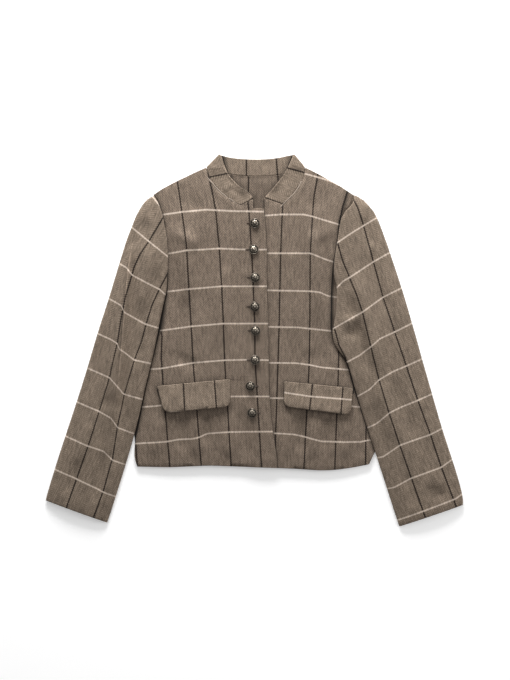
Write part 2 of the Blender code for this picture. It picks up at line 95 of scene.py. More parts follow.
SHADED_SHARP = math.radians(62.0)   # edges that bend less are shaded round

# Where a sleeve lies beside the body, the front's side goes on to it and rolls down. For each
# front: which way its side faces, the sleeve, and the place below which the table shows between.
SIDES = {"front_right": (-1.0, "sleeve_right", (136, 434)), "front_left": (1.0, "sleeve_left", (374, 452))}
SIDE_START = 2.0 * MM           # the gap is looked for from this far inside the outline
SIDE_REACH = 13.0 * MM          # wider gaps stay
SIDE_LEAST = 1.2 * MM           # and so do narrower ones
SIDE_UNDER = 7.0 * MM           # how far the side goes on under the sleeve's raised fold
SIDE_ROLL = 4.0 * MM            # beyond its solid the cloth rolls down over this width
SIDE_FALL = 5.0 * MM            # by this much
SLEEVE_EDGE = 3.0 * MM          # height of a sleeve's side folds
UNDERSIDE = 0.1 * MM            # no cloth reaches lower
OVER_LAYER = 5.3 * MM           # a crease stays over the layer that lies below it


def place(across, down):
    """A photograph point as x and y in the frame."""
    x = BUTTON_5.x + (across - BUTTON_5_PHOTO[0]) * PIXEL
    y = BUTTON_5.y - (down - BUTTON_5_PHOTO[1]) * PIXEL
    return x, y


def line_of(points):
    return np.array([place(*point) for point in points])


# Where the check's lines run. A whole number names each line; between lines it is shared out.
BODY_RIGHT_DARK = {
    1: [(152.0, 160), (153.5, 290), (158.4, 323), (162.0, 336), (161.6, 347), (161.3, 358),
        (163.4, 390), (169.8, 467), (170.5, 480)],
    2: [(176, 170), (177.3, 182.4), (181.6, 211), (186.5, 244), (189, 289), (191, 323),
        (193.1, 363), (201.3, 466), (202, 480)],
    3: [(206.5, 160), (208.7, 176.4), (212, 190.7), (215.6, 210), (219.3, 248), (221.7, 286),
        (223.4, 323), (224.6, 360), (231.1, 465), (232, 480)],
    4: [(245, 170), (248.4, 207), (249.8, 222), (252.6, 270), (254.6, 323), (255, 360),
        (261.5, 467), (262, 480)],
}
BODY_RIGHT_CREAM = {
    0: [(150, 176), (183, 170), (206, 165.5), (240, 165), (270, 165)],
    1: [(155, 216), (163, 214.6), (182.6, 211.8), (206.6, 209.7), (234, 211.3), (264, 211.8)],
    2: [(155, 255), (168, 253.7), (186.6, 250.5), (219, 248.5), (248, 249.7), (266, 249.7)],
    3: [(155, 293), (167.5, 291.5), (189, 289.1), (222, 286.3), (266, 286.3)],
    4: [(150, 331.5), (165, 330), (191, 326.4), (223, 323.6), (265, 323.6)],
    5: [(140, 370), (152, 369.1), (161, 368.6), (193, 362.8), (225, 360.2), (248.5, 359.7),
        (265, 360.1)],
    6: [(130, 407.5), (144, 407), (157, 406), (190, 401.5), (232, 396.4), (265, 396.4)],
    7: [(130, 444), (140, 443.4), (166, 441.8), (178, 439.6), (192, 438.9), (199, 437.4),
        (207, 433.6), (227, 432), (265, 431.5), (276, 431.5)],
}
BODY_LEFT_DARK = {
    4: [(252, 190), (251, 250), (248.5, 326), (247, 363), (244.5, 440), (243, 480)],
    5: [(283, 196), (282.8, 204.6), (281.4, 230), (280.1, 278), (279.1, 326), (278, 363),
        (275.5, 440), (274.6, 480)],
    6: [(318.5, 168), (317.8, 175.4), (313.9, 197.4), (312.6, 215.8), (310.2, 253.6),
        (309.9, 326.6), (309.2, 365), (303.8, 470), (303, 480)],
    7: [(350, 180), (347.5, 191.3), (342.3, 207.5), (339.4, 222), (338.0, 243), (338.4, 300),
        (338.8, 358), (338, 386), (334.7, 470), (334, 480)],
    8: [(378, 200), (371, 260), (369, 330), (367.5, 386), (366, 435), (365.6, 464),
        (365, 480)],
}
BODY_LEFT_CREAM = {
    0: [(264, 178), (285, 173.2), (304.6, 173.4), (317, 176.8), (329, 180.3), (345, 187)],
    1: [(262, 215.8), (281, 214.5), (304, 214.5), (313, 216.6), (327, 221), (339, 224.5),
        (355, 229)],
    2: [(262, 253.3), (310, 253.3), (321, 257.7), (334, 262.3), (350, 267)],
    3: [(262, 290.2), (309, 291.2), (320, 292.3), (328, 296), (336, 297), (350, 299)],
    4: [(262, 326.7), (298, 327.4), (331, 330.9), (350, 334)],
    5: [(262, 362.8), (296, 363.1), (309, 364.8), (322, 367.5), (344, 369.4), (360, 371)],
    6: [(262, 398.1), (282, 398.1), (318, 401.5), (353, 406.5), (370, 408)],
    7: [(262, 433.1), (272, 433.1), (293, 434.2), (304, 436.7), (322, 441.5), (342, 442),
        (360, 442), (369, 440.2), (380, 439)],
}
INSIDE_BACK_DARK = {
    3: [(216, 150), (216, 480)],
    4: [(246.5, 150), (246.8, 174), (248.6, 177), (248.2, 209), (248, 480)],
    5: [(276.8, 150), (277.8, 176), (280, 209), (281, 480)],
    6: [(310, 150), (312, 480)],
}
INSIDE_BACK_CREAM = {0.04: [(200, 174.5), (320, 174.5)], 0.96: [(200, 208.5), (320, 208.5)]}
SLEEVE_RIGHT_DARK = {
    1: [(172, 200), (163.5, 217), (155, 231.5), (149.1, 241.3), (140, 254.5), (133.9, 267.8),
        (131.3, 277), (125.7, 297.3), (121.4, 320), (118.5, 340), (116.5, 349), (110.2, 377),
        (99.9, 410), (88.5, 446), (77, 478), (66.8, 507), (64, 516)],
    2: [(178, 255), (167.6, 273.7), (159.2, 289.7), (152.2, 304.5), (146.1, 323.9), (142, 340),
        (134.4, 360), (124.2, 393.8), (117.8, 424.4), (112.7, 457.6), (103.8, 489.4),
        (93.6, 517.5), (91, 526)],
}
SLEEVE_RIGHT_CREAM = {
    0: [(140, 183), (151.8, 195.7), (157.8, 203.3), (172, 220)],
    1: [(131.8, 227.4), (149, 241.5), (167.7, 256.4)],
    2: [(119.6, 263.7), (126.7, 267.8), (131.8, 274.9), (147, 283), (159.4, 289.2), (167, 296)],
    3: [(109.4, 298.9), (121.6, 305.5), (124.7, 312.7), (145, 323.9), (158.6, 328), (166, 330)],
    4: [(98, 333.8), (111.4, 339.6), (117.8, 343.4), (119.7, 349.1), (134.4, 360), (150.3, 363.4)],
    5: [(87.8, 368.3), (110.2, 377.8), (116.5, 384.8), (122.9, 393.8), (140.8, 398.9)],
    6: [(77, 402.1), (98.7, 411), (111.4, 418), (117.8, 427.6), (131.8, 433)],
    7: [(66.1, 436.5), (87.8, 445.8), (103.8, 451.2), (112.7, 460.1), (125.5, 464.6)],
    8: [(55.3, 469.7), (76.4, 478.6), (103.8, 492), (115.3, 496.5)],
}
SLEEVE_LEFT_DARK = {
    1: [(344, 180), (354.5, 201.6), (357.5, 207.5), (363.5, 225.5), (372.8, 260), (382.9, 297.3),
        (394.5, 332), (406.2, 366), (417.5, 400), (430.3, 434.5), (441, 466.6), (455.7, 505.4),
        (459, 514)],
    2: [(330, 215), (337.4, 242.2), (342.4, 260), (349.6, 278), (355.6, 292.3), (362.2, 312),
        (369.5, 343), (378.7, 379.6), (388.7, 413), (399.5, 445.2), (411.5, 478.7),
        (424.9, 516.8), (428, 526)],
    3: [(322, 300), (334.9, 329.6), (338.8, 345), (345, 356.6), (349.4, 370.7), (353.7, 385.9),
        (361, 415), (372, 450), (384, 490), (396, 528)],
}
SLEEVE_LEFT_CREAM = {
    0: [(372, 182), (360, 189), (346, 197), (332, 205)],
    1: [(376.2, 218.1), (363.7, 225.5), (349.9, 234.1), (338, 242.2)],
    2: [(389, 253), (373.7, 261.6), (349.6, 277.5), (343.4, 281), (336.5, 288)],
    3: [(401.2, 288.2), (382.9, 297.3), (362.5, 312), (335, 327.5)],
    4: [(410.9, 323.9), (394.5, 332), (379.7, 338.7), (370, 347.2), (360.2, 355), (347.2, 362)],
    5: [(421.6, 359.2), (406.2, 366), (392.8, 371.5), (378.5, 380), (369.5, 389.5), (358, 396.2)],
    6: [(431.6, 394.3), (417.5, 400.3), (396.8, 409), (388.7, 413), (376.7, 423.7),
        (367.8, 427.7)],
    7: [(441.6, 429.1), (430.3, 434.5), (399.5, 445.2), (383.4, 456.6), (377.4, 457.9)],
    8: [(451.7, 459.9), (441, 467.3), (411.5, 478), (394.1, 487.4), (386.1, 489)],
    9: [(462.4, 494.1), (455.7, 498.7), (423.6, 510.8), (397.5, 520.2)],
}
FLAP_RIGHT_DARK = {
    0: [(152.5, 370), (154, 420)], 1: [(183.0, 370), (183.4, 383.8), (185, 411.4), (185.5, 420)],
    2: [(213.5, 370), (214.3, 380), (216.5, 407.1), (217, 420)],
}
FLAP_RIGHT_CREAM = {0.13: [(150, 381.5), (240, 376.5)], 0.87: [(150, 408.7), (240, 403.7)]}
FLAP_LEFT_DARK = {
    0: [(280, 370), (277, 420)], 1: [(313, 378), (312.5, 384.8), (309.2, 410.9), (308.6, 418)],
    2: [(343.4, 380), (342.9, 388.1), (340.7, 414.1), (340, 420)],
}
FLAP_LEFT_CREAM = {
    0: [(280, 356), (352, 362)], 1: [(280, 392), (284.3, 392.4), (309.2, 396.2), (352.6, 399.8)],
    2: [(280, 430), (352, 437)],
}
SLEEVE_RIGHT_EDGES = {
    0: [(151.3, 195.7), (139.9, 209.8), (131.8, 226), (119.6, 264.7), (98.2, 333), (77, 402.7),
        (55.3, 469), (45.7, 499)],
    1: [(170, 200), (167, 292), (161.3, 314), (157.3, 337), (151, 363.2), (144.6, 391.2),
        (135.7, 435.9), (116.5, 495.8), (107.6, 523)],
}
SLEEVE_LEFT_EDGES = {
    0: [(352.1, 194), (370.6, 207.6), (376.7, 217.8), (389, 251.4), (411.4, 322.9),
        (431.6, 394.3), (451.7, 459.9), (463.1, 497)],
    1: [(330, 205), (334.2, 278.6), (335.7, 313), (331.9, 335), (347.2, 362.1), (353.7, 385.9),
        (370, 435.8), (386.1, 488), (398.5, 527)],
}


def run_on(along, line, axis):
    """Where a line is across, at each place along; straight on past its ends."""
    order = np.argsort(line[:, 1 - axis])
    ends = line[order]
    at = ends[:, 1 - axis]
    value = ends[:, axis]
    found = np.interp(along, at, value)
    first = (value[1] - value[0]) / (at[1] - at[0])
    last = (value[-1] - value[-2]) / (at[-1] - at[-2])
    found = np.where(along < at[0], value[0] + first * (along - at[0]), found)
    return np.where(along > at[-1], value[-1] + last * (along - at[-1]), found)


def count_lines(points, lines, axis, spacing, turn=0.0):
    """For each point its place among numbered lines, whole on a line, shared out between."""
    swing = np.array([[math.cos(turn), -math.sin(turn)], [math.sin(turn), math.cos(turn)]])
    points = points @ swing.T
    numbers = sorted(lines)
    runs = [run_on(points[:, 1 - axis], line_of(lines[number]) @ swing.T, axis) for number in numbers]
    way = 1.0 if np.median(runs[-1]) > np.median(runs[0]) else -1.0
    here = points[:, axis] * way
    runs = [run * way for run in runs]
    counted = numbers[0] + (here - runs[0]) / spacing
    for index in range(len(numbers) - 1):
        part = (here - runs[index]) / np.maximum(runs[index + 1] - runs[index], 1e-5)
        step = numbers[index + 1] - numbers[index]
        counted = np.where(here >= runs[index], numbers[index] + part * step, counted)
    return np.where(here >= runs[-1], numbers[-1] + (here - runs[-1]) / spacing, counted)


# Meshes and surfaces

def solid_of(node):
    """A copy of a CAD node's loose triangles, merged."""
    bm = bmesh.new()
    bm.from_mesh(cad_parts[node].data)
    bmesh.ops.remove_doubles(bm, verts=bm.verts[:], dist=WELD)
    bm.normal_update()
    return bm


def surface_of(piece):
    bm = bmesh.new()
    bm.from_mesh(piece.data)
    tree = BVHTree.FromBMesh(bm)
    bm.free()
    return tree


def top_of(surface, x, y, beside):
    """The surface's highest point at a place, and whether it lies there or only beside the place."""
    hit = surface.ray_cast(Vector((x, y, 1.0)), Vector((0.0, 0.0, -1.0)))[0]
    if hit is not None:
        return hit, True
    return surface.find_nearest(Vector((x, y, beside)))[0], False


def mesh_of(bm, name):
    mesh = bpy.data.meshes.new(name)
    bm.to_mesh(mesh)
    bm.free()
    return mesh


def spots_of(mesh):
    flat = np.zeros(len(mesh.vertices) * 3)
    mesh.vertices.foreach_get("co", flat)
    return flat.reshape(-1, 3)


def evaluated(bm, name, kind, settings):
    """The mesh that a bmesh gives under a modifier, which is applied."""
    helper = bpy.data.objects.new(name + "_made", mesh_of(bm, name))
    bpy.context.scene.collection.objects.link(helper)
    added = helper.modifiers.new(kind, kind)
    for key, value in settings.items():
        setattr(added, key, value)
    bpy.context.view_layer.update()
    made = bpy.data.meshes.new_from_object(helper.evaluated_get(bpy.context.evaluated_depsgraph_get()))
    bpy.data.objects.remove(helper)
    made.name = name
    return made


# Shells of the flat-cut panels

def side_of_cad(node):
    """A CAD panel's upper side as one flat face, and that side as a surface to lay cloth on."""
    bm = solid_of(node)
    hidden = [face for face in bm.faces if face.normal.z < UPWARD]
    bmesh.ops.delete(bm, geom=hidden, context="FACES")
    surface = BVHTree.FromBMesh(bm)
    for vert in bm.verts:
        vert.co.z = 0.0
    bmesh.ops.dissolve_faces(bm, faces=bm.faces[:], use_verts=False)
    bmesh.ops.dissolve_limit(bm, angle_limit=STRAIGHT, verts=bm.verts[:], edges=bm.edges[:])
    return bm, surface


def meet_sleeve(spots, way, sleeve, gap_top):
    """Draw the outline's side out to the sleeve's fold, where less than a finger is between."""
    beside = surface_of(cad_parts[sleeve])
    lowest = place(*gap_top)[1]
    for index in np.flatnonzero(spots[:, 1] >= lowest):
        spot = spots[index]
        start = Vector((spot[0] - way * SIDE_START, spot[1], SLEEVE_EDGE))
        hit = beside.ray_cast(start, Vector((way, 0.0, 0.0)), SIDE_START + SIDE_REACH)[0]
        if hit is not None and abs(hit.x - spot[0]) > SIDE_LEAST:
            spot[0] = hit.x + way * SIDE_UNDER


def soften_outline(bm, node, rounding):
    """More points along the outline, its slight bends rounded and its true corners kept."""
    for edge in list(bm.edges):
        cuts = int(edge.calc_length() / OUTLINE_STEP)
        if cuts:
            bmesh.ops.subdivide_edges(bm, edges=[edge], cuts=cuts)
    face = max(bm.faces, key=lambda item: item.calc_area())
    ring = [loop.vert for loop in face.loops]
    spots = np.array([vert.co[:] for vert in ring])
    before = spots - np.roll(spots, 1, axis=0)
    after = np.roll(spots, -1, axis=0) - spots
    lengths = np.linalg.norm(before, axis=1) * np.linalg.norm(after, axis=1)
    turn = np.arccos(np.clip((before * after).sum(axis=1) / np.maximum(lengths, 1e-12), -1.0, 1.0))
    if node in SIDES:
        meet_sleeve(spots, *SIDES[node])
    for _ in range(rounding):
        middle = (np.roll(spots, 1, axis=0) + np.roll(spots, -1, axis=0)) / 2.0
        spots = np.where(turn[:, None] > CORNER, spots, (spots + middle) / 2.0)
    run = np.roll(spots, -1, axis=0) - np.roll(spots, 1, axis=0)
    run = run / np.maximum(np.linalg.norm(run, axis=1), 1e-9)[:, None]
    spots[:, 0] += run[:, 1] * SEAM_CLOSE
    spots[:, 1] -= run[:, 0] * SEAM_CLOSE
    for vert, spot in zip(ring, spots):
        vert.co = Vector(spot)
    return face


def cut_cells(bm, cell):
    """Cut the inner face, which is marked by its material number, into cells."""
    for axis in (0, 1):
        inner = [face for face in bm.faces if face.material_index == 1]
        values = [vert.co[axis] for face in inner for vert in face.verts]
        start = min(values)
        normal = Vector((1.0 - axis, axis, 0.0))
        for step in range(1, int((max(values) - start) / cell) + 1):
            at = start + (step - CUT_SHIFT) * cell
            inner = [face for face in bm.faces if face.material_index == 1]
            inner = [face for face in inner if max(vert.co[axis] for vert in face.verts) > at]
            edges = list(dict.fromkeys(edge for face in inner for edge in face.edges))
            verts = list(dict.fromkeys(vert for face in inner for vert in face.verts))
            bmesh.ops.bisect_plane(bm, geom=verts + edges + inner, dist=CUT_SNAP, plane_co=normal * at,
                                   plane_no=normal)


def height_on(surface, x, y, guess):
    """The solid's height; beyond its outline the cloth rolls down."""
    spot, on_it = top_of(surface, x, y, guess)
    if on_it:
        return spot.z
    beyond = min(1.0, math.hypot(spot.x - x, spot.y - y) / SIDE_ROLL)
    return spot.z - SIDE_FALL * beyond * beyond * (3.0 - 2.0 * beyond)


def lay_on(bm, surface, guess, creases, lowest, held):
    """Lay a flat net of cells on its solid, with its creases; the held points aren't smoothed."""
    for vert in bm.verts:
        vert.co.z = height_on(surface, vert.co.x, vert.co.y, guess)
    loose = [vert for vert in bm.verts if vert not in held]
    for _ in range(SMOOTHING):
        bmesh.ops.smooth_vert(bm, verts=loose, factor=0.5, use_axis_z=True)
    spots = np.array([vert.co[:] for vert in bm.verts])
    lifted = spots[:, 2] + crease_heights(spots[:, :2], creases)
    lifted = np.maximum(lifted, np.minimum(spots[:, 2], OVER_LAYER))
    for vert, height in zip(bm.verts, lifted):
        vert.co.z = max(height, lowest)


def panel_shell(node, cell=CELL, cloth=PANEL_CLOTH, creases=(), lowest=0.0, rounding=ROUNDING):
    """A panel of cloth on its solid: round edges, true creases, its own thickness."""
    bm, surface = side_of_cad(node)
    inner = soften_outline(bm, node, rounding)
    rims = [list(inner.verts)]
    reached = 0.0
    for inwards, _ in RIM_STEPS:
        bmesh.ops.inset_region(bm, faces=[inner], thickness=inwards - reached, use_even_offset=True,
                               use_boundary=True)
        reached = inwards
        rims.append(list(inner.verts))
    for face in bm.faces:
        face.material_index = 0
    inner.material_index = 1
    cut_cells(bm, cell)
    lay_on(bm, surface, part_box(node)[1].z, creases, lowest, set(rims[0]))
    for face in bm.faces:
        face.material_index = 0
    grown = bmesh.ops.extrude_face_region(bm, geom=bm.faces[:])
    under = [item for item in grown["geom"] if isinstance(item, bmesh.types.BMVert)]
    for vert in under:
        vert.co.z = max(vert.co.z - cloth, UNDERSIDE)
    drops = [RIM_DROP] + [drop for _, drop in RIM_STEPS]
    for ring, drop in zip(rims, drops):
        for vert in ring:
            if vert.is_valid:
                vert.co.z = max(vert.co.z - drop, UNDERSIDE + RIM_LEAST)
    bmesh.ops.recalc_face_normals(bm, faces=bm.faces[:])
    return mesh_of(bm, node + "_shell")


# Creases, listed one by one: a line on the photograph, its height (a trough's is below zero) and how
# far it reaches to the left and to the right of the line's direction, in millimetres.

CREASE_SCALE = 3.2 * MM
CREASE_TAPER = 3.2              # a crease fades at each end over its length divided by this


def nearest_on(points, spots):
    """How far each point is from a line, below zero on its right, and how far along it, as a share."""
    lengths = np.linalg.norm(np.diff(spots, axis=0), axis=1)
    starts = np.concatenate([[0.0], np.cumsum(lengths)])
    nearest = np.full(len(points), 1e9)
    along = np.zeros(len(points))
    for index, (a, b) in enumerate(zip(spots, spots[1:])):
        run = b - a
        part = np.clip(((points - a) @ run) / (run @ run), 0.0, 1.0)
        gap = points - a - part[:, None] * run
        away = np.hypot(gap[:, 0], gap[:, 1])
        closer = away < np.abs(nearest)
        side = run[0] * gap[:, 1] - run[1] * gap[:, 0]
        nearest = np.where(closer, np.where(side < 0.0, -away, away), nearest)
        along = np.where(closer, starts[index] + part * lengths[index], along)
    return nearest, along / starts[-1], starts / starts[-1]


def crease_heights(points, creases):
    total = np.zeros(len(points))
    for line, height, left, right in creases:
        nearest, share, _ = nearest_on(points, line_of(line))
        reach = np.where(nearest > 0.0, left, right) * MM
        taper = np.clip(np.minimum(share, 1.0 - share) * CREASE_TAPER, 0.0, 1.0)
        taper = taper * taper * (3.0 - 2.0 * taper)
        total += height * CREASE_SCALE * taper * np.exp(-((nearest / reach) ** 2))
    return total


BODY_RIGHT_CREASES = [
    ([(244, 211), (239, 207.5), (231, 203), (224, 198), (217, 192), (211.5, 185.5), (207.5, 178),
      (205, 171)], 0.42, 3.5, 3.5),
    ([(170, 285), (168, 310), (164, 335), (160, 358)], 0.8, 6, 9),
    ([(190, 215), (186, 262), (184, 312)], 1.5, 16, 10),
    ([(205, 220), (203, 275), (205, 330)], -1.0, 10, 12),
    ([(176, 245), (175, 290), (178, 335)], -0.9, 9, 9),
    ([(222, 262), (220, 300), (223, 352)], 0.9, 13, 10),
    ([(237, 226), (240, 290), (240, 372)], -0.7, 9, 12),
    ([(186, 411), (182, 432), (180, 452)], -1.6, 8, 10),
    ([(197, 413), (196, 436), (198, 462)], 1.1, 9, 9),
    ([(208, 411), (206, 430), (207, 447)], -1.3, 7, 9),
    ([(228, 408), (226, 438), (229, 463)], 1.0, 12, 9),
    ([(160, 410), (155, 436), (153, 462)], 1.1, 12, 10),
    ([(168, 352), (186, 362), (203, 366)], -0.9, 9, 9),
    ([(178, 186), (188, 200), (203, 214)], -0.8, 12, 12),
    ([(168, 226), (184, 238), (203, 244)], 0.8, 10, 12),
    ([(243, 405), (246, 436), (249, 464)], -0.9, 8, 10),
]
BODY_LEFT_CREASES = [
    ([(280, 210), (285, 206), (291.5, 200), (297, 193.5), (301.5, 186.5), (305, 179), (307, 172)],
     0.42, 3.5, 3.5),
    ([(327, 275), (329, 300), (328, 330), (331, 348)], 0.8, 9, 6),
    ([(318, 212), (321, 236), (325, 258), (329, 286), (329, 318)], -1.0, 9, 7),
    ([(312.5, 216), (313.5, 252), (315.5, 285), (316, 330)], 1.8, 14, 9),
    ([(334, 244), (333.5, 265), (335, 290)], 0.6, 7, 7),
    ([(303, 222), (302, 270), (304, 322)], -0.8, 8, 9),
    ([(294, 225), (297, 285), (294, 352)], 0.9, 14, 12),
    ([(281, 250), (281, 310), (282, 372)], -0.7, 10, 10),
    ([(303, 409), (301, 430), (302, 456)], -1.5, 8, 9),
    ([(314, 411), (314, 436), (311, 464)], 1.1, 9, 10),
    ([(325, 413), (327, 432), (325, 452)], -1.2, 8, 8),
    ([(344, 414), (346, 440), (343, 464)], 1.0, 10, 10),
    ([(290, 405), (290, 434), (287, 462)], 0.8, 10, 9),
    ([(334, 345), (318, 356), (300, 360)], -0.9, 9, 9),
    ([(330, 188), (318, 200), (304, 212)], -0.8, 12, 12),
    ([(338, 226), (322, 236), (304, 242)], 0.7, 10, 12),
    ([(360, 372), (354, 400), (356, 428)], -0.8, 8, 8),
]
# The flaps' lower edges stand off the body
FLAP_RIGHT_CREASES = [([(130, 413), (194, 411), (254, 404)], 0.9, 26, 26),
                      ([(176, 384), (178, 408)], 0.25, 12, 10), ([(206, 381), (203, 404)], -0.25, 9, 9)]
FLAP_LEFT_CREASES = [([(262, 406), (318, 413), (374, 418)], 0.9, 26, 26),
                     ([(302, 386), (300, 409)], 0.25, 10, 12), ([(328, 388), (330, 412)], -0.25, 9, 9)]
SLEEVE_RIGHT_CREASES = [
    ([(133, 236), (127, 266), (124, 300), (119, 340), (116, 385), (113, 446)], 2.6, 6, 15),
    ([(138, 240), (133, 270), (130, 304), (125.5, 342), (122, 385), (118, 440)], -1.9, 12, 7),
    ([(150, 236), (148, 262), (143, 292), (140, 318)], 1.4, 13, 11),
    ([(160, 262), (155, 290), (151, 322)], -1.0, 8, 9),
    ([(105, 330), (99, 358), (92, 392)], -0.8, 9, 10),
    ([(138, 350), (133, 384), (126, 420)], 1.2, 11, 10),
    ([(142, 395), (135, 430), (126, 462)], -0.8, 8, 8),
    ([(92, 412), (84, 442), (74, 474)], 1.0, 12, 12),
    ([(108, 446), (100, 474), (92, 508)], -1.1, 10, 10),
    ([(80, 452), (72, 480), (64, 500)], -0.8, 10, 9),
    ([(145, 214), (140, 232), (130, 252)], -1.0, 11, 11),
    ([(117, 455), (110, 484), (103, 512)], 0.9, 9, 9),
    ([(128, 410), (112, 402), (97, 404)], -0.7, 8, 9),
]
SLEEVE_LEFT_CREASES = [
    ([(352, 262), (362, 300), (372, 340), (382, 384)], 1.9, 11, 11),
    ([(346, 285), (354, 318), (364, 352), (370, 380)], -1.6, 8, 9),
    ([(368, 246), (378, 285), (388, 322)], -1.0, 11, 11),
    ([(384, 262), (394, 300), (404, 336)], 1.0, 12, 11),
    ([(376, 372), (388, 412), (398, 446)], 1.2, 11, 12),
    ([(394, 374), (405, 412), (416, 448)], -1.1, 10, 11),
    ([(412, 380), (424, 418), (434, 452)], 0.9, 11, 11),
    ([(372, 398), (380, 430), (388, 462)], -1.1, 8, 8),
    ([(427, 486), (436, 492), (448, 495)], -1.7, 8, 7),
    ([(424, 478), (434, 483), (446, 485)], 1.0, 8, 8),
    ([(402, 462), (410, 486), (418, 512)], -0.9, 9, 9),
    ([(342, 330), (352, 334), (364, 330)], -1.2, 8, 8),
    ([(340, 318), (350, 321), (361, 316)], 1.0, 8, 8),
    ([(360, 214), (366, 230), (372, 250)], -0.9, 11, 11),
]


# Shells of the sleeves

SLEEVE_CLOTH = 2.3 * MM
SLEEVE_PUFF = 2.6 * MM          # the cloth stands a little prouder than its solid
SLEEVE_BELLY = 2.4              # how square the puff is across the sleeve
SLEEVE_LIFT = 2.8 * MM          # its inner fold lies on the body's side
SLEEVE_LIFT_REACH = 0.16        # as a share of the width
SLEEVE_LIFT_START = 32.0 * MM
SLEEVE_LIFT_END = 9.0           # the lift ends at this many times that distance
SLEEVE_TURN = math.radians(18.4)
SLEEVE_OUT = 2.0 * MM           # its outer fold, which rounding draws in, is put back out
SLEEVE_OUT_REACH = 0.14         # as a share of the width
SLEEVE_WIDTH = 120.0 * MM       # beyond its edges a share of the width is counted by this
SLEEVE_DEPTH = 12.0 * MM        # a face that has another one before it looks into the tube
SKIN_START = 0.05 * MM
JOIN_BEND = math.radians(40.0)  # triangles that bend or skew more stay apart
JOIN_SKEW = math.radians(170.0)


def join_quads(bm):
    bmesh.ops.join_triangles(bm, faces=bm.faces[:], angle_face_threshold=JOIN_BEND,
                             angle_shape_threshold=JOIN_SKEW)


def outer_skin(node):
    """A CAD sleeve's outer skin: without the faces that look into the tube and its two ends."""
    bm = solid_of(node)
    tree = BVHTree.FromBMesh(bm)
    inner = []
    for face in bm.faces:
        start = face.calc_center_median() + face.normal * SKIN_START
        if tree.ray_cast(start, face.normal, SLEEVE_DEPTH)[0] is not None:
            inner.append(face)
    bmesh.ops.delete(bm, geom=inner, context="FACES")
    ends = [face for face in bm.faces if any(edge.is_boundary for edge in face.edges)]
    bmesh.ops.delete(bm, geom=ends, context="FACES")
    join_quads(bm)
    return bm


def sleeve_shell(node, edges, turn, creases, lift_from):
    subdivide = {"levels": 2, "render_levels": 2, "boundary_smooth": "PRESERVE_CORNERS"}
    mesh = evaluated(outer_skin(node), node + "_skin", "SUBSURF", subdivide)
    spots = spots_of(mesh)
    across = count_lines(spots[:, :2], edges, 0, SLEEVE_WIDTH, turn)
    belly = np.clip(1.0 - np.abs(2.0 * across - 1.0) ** SLEEVE_BELLY, 0.0, 1.0)
    relief = SLEEVE_PUFF * belly + crease_heights(spots[:, :2], creases) * np.sqrt(belly)
    relief = np.maximum(relief, np.minimum(0.0, OVER_LAYER - spots[:, 2]))
    spots[:, 2] += np.where(spots[:, 2] > SLEEVE_EDGE, relief, 0.0)
    to_fold = np.clip((1.0 - across) / SLEEVE_LIFT_REACH, 0.0, 1.0)
    down = (lift_from - spots[:, 1]) / SLEEVE_LIFT_START
    below = np.clip(down, 0.0, 1.0) * np.clip(SLEEVE_LIFT_END - down, 0.0, 1.0)
    spots[:, 2] += SLEEVE_LIFT * (1.0 - to_fold) ** 2 * (1.0 + 2.0 * to_fold) * below
    spots[:, 2] = np.maximum(spots[:, 2], UNDERSIDE)
    out = np.clip(1.0 - across / SLEEVE_OUT_REACH, 0.0, 1.0) ** 2 * SLEEVE_OUT
    spots[:, 0] -= math.copysign(math.cos(turn), turn) * out
    spots[:, 1] += abs(math.sin(turn)) * out
    mesh.vertices.foreach_set("co", spots.ravel())
    bm = bmesh.new()
    bm.from_mesh(mesh)
    bpy.data.meshes.remove(mesh)
    thicken = {"thickness": SLEEVE_CLOTH, "offset": -1.0, "use_rim": True}
    return evaluated(bm, node + "_shell", "SOLIDIFY", thicken)


# Finishing a piece

def finish_mesh(name, mesh, look, node=None):
    """Make a mesh a finished piece, in the place of a CAD node where one is named."""
    piece = bpy.data.objects.new(name, mesh)
    bpy.context.scene.collection.objects.link(piece)
    mesh.materials.clear()
    mesh.materials.append(look)
    mesh.shade_smooth()
    mesh.set_sharp_from_angle(angle=SHADED_SHARP)
    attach(piece, "root")
    if node:
        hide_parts(node)
    return piece


def lay_pairs(mesh, name, u, v):
    """Store two numbers for each point as a UV map."""
    layer = mesh.uv_layers.new(name=name)
    corners = np.zeros(len(mesh.loops), np.int32)
    mesh.loops.foreach_get("vertex_index", corners)
    both = np.stack([u[corners], v[corners]], axis=1)
    layer.uv.foreach_set("vector", both.astype(np.float32).ravel())
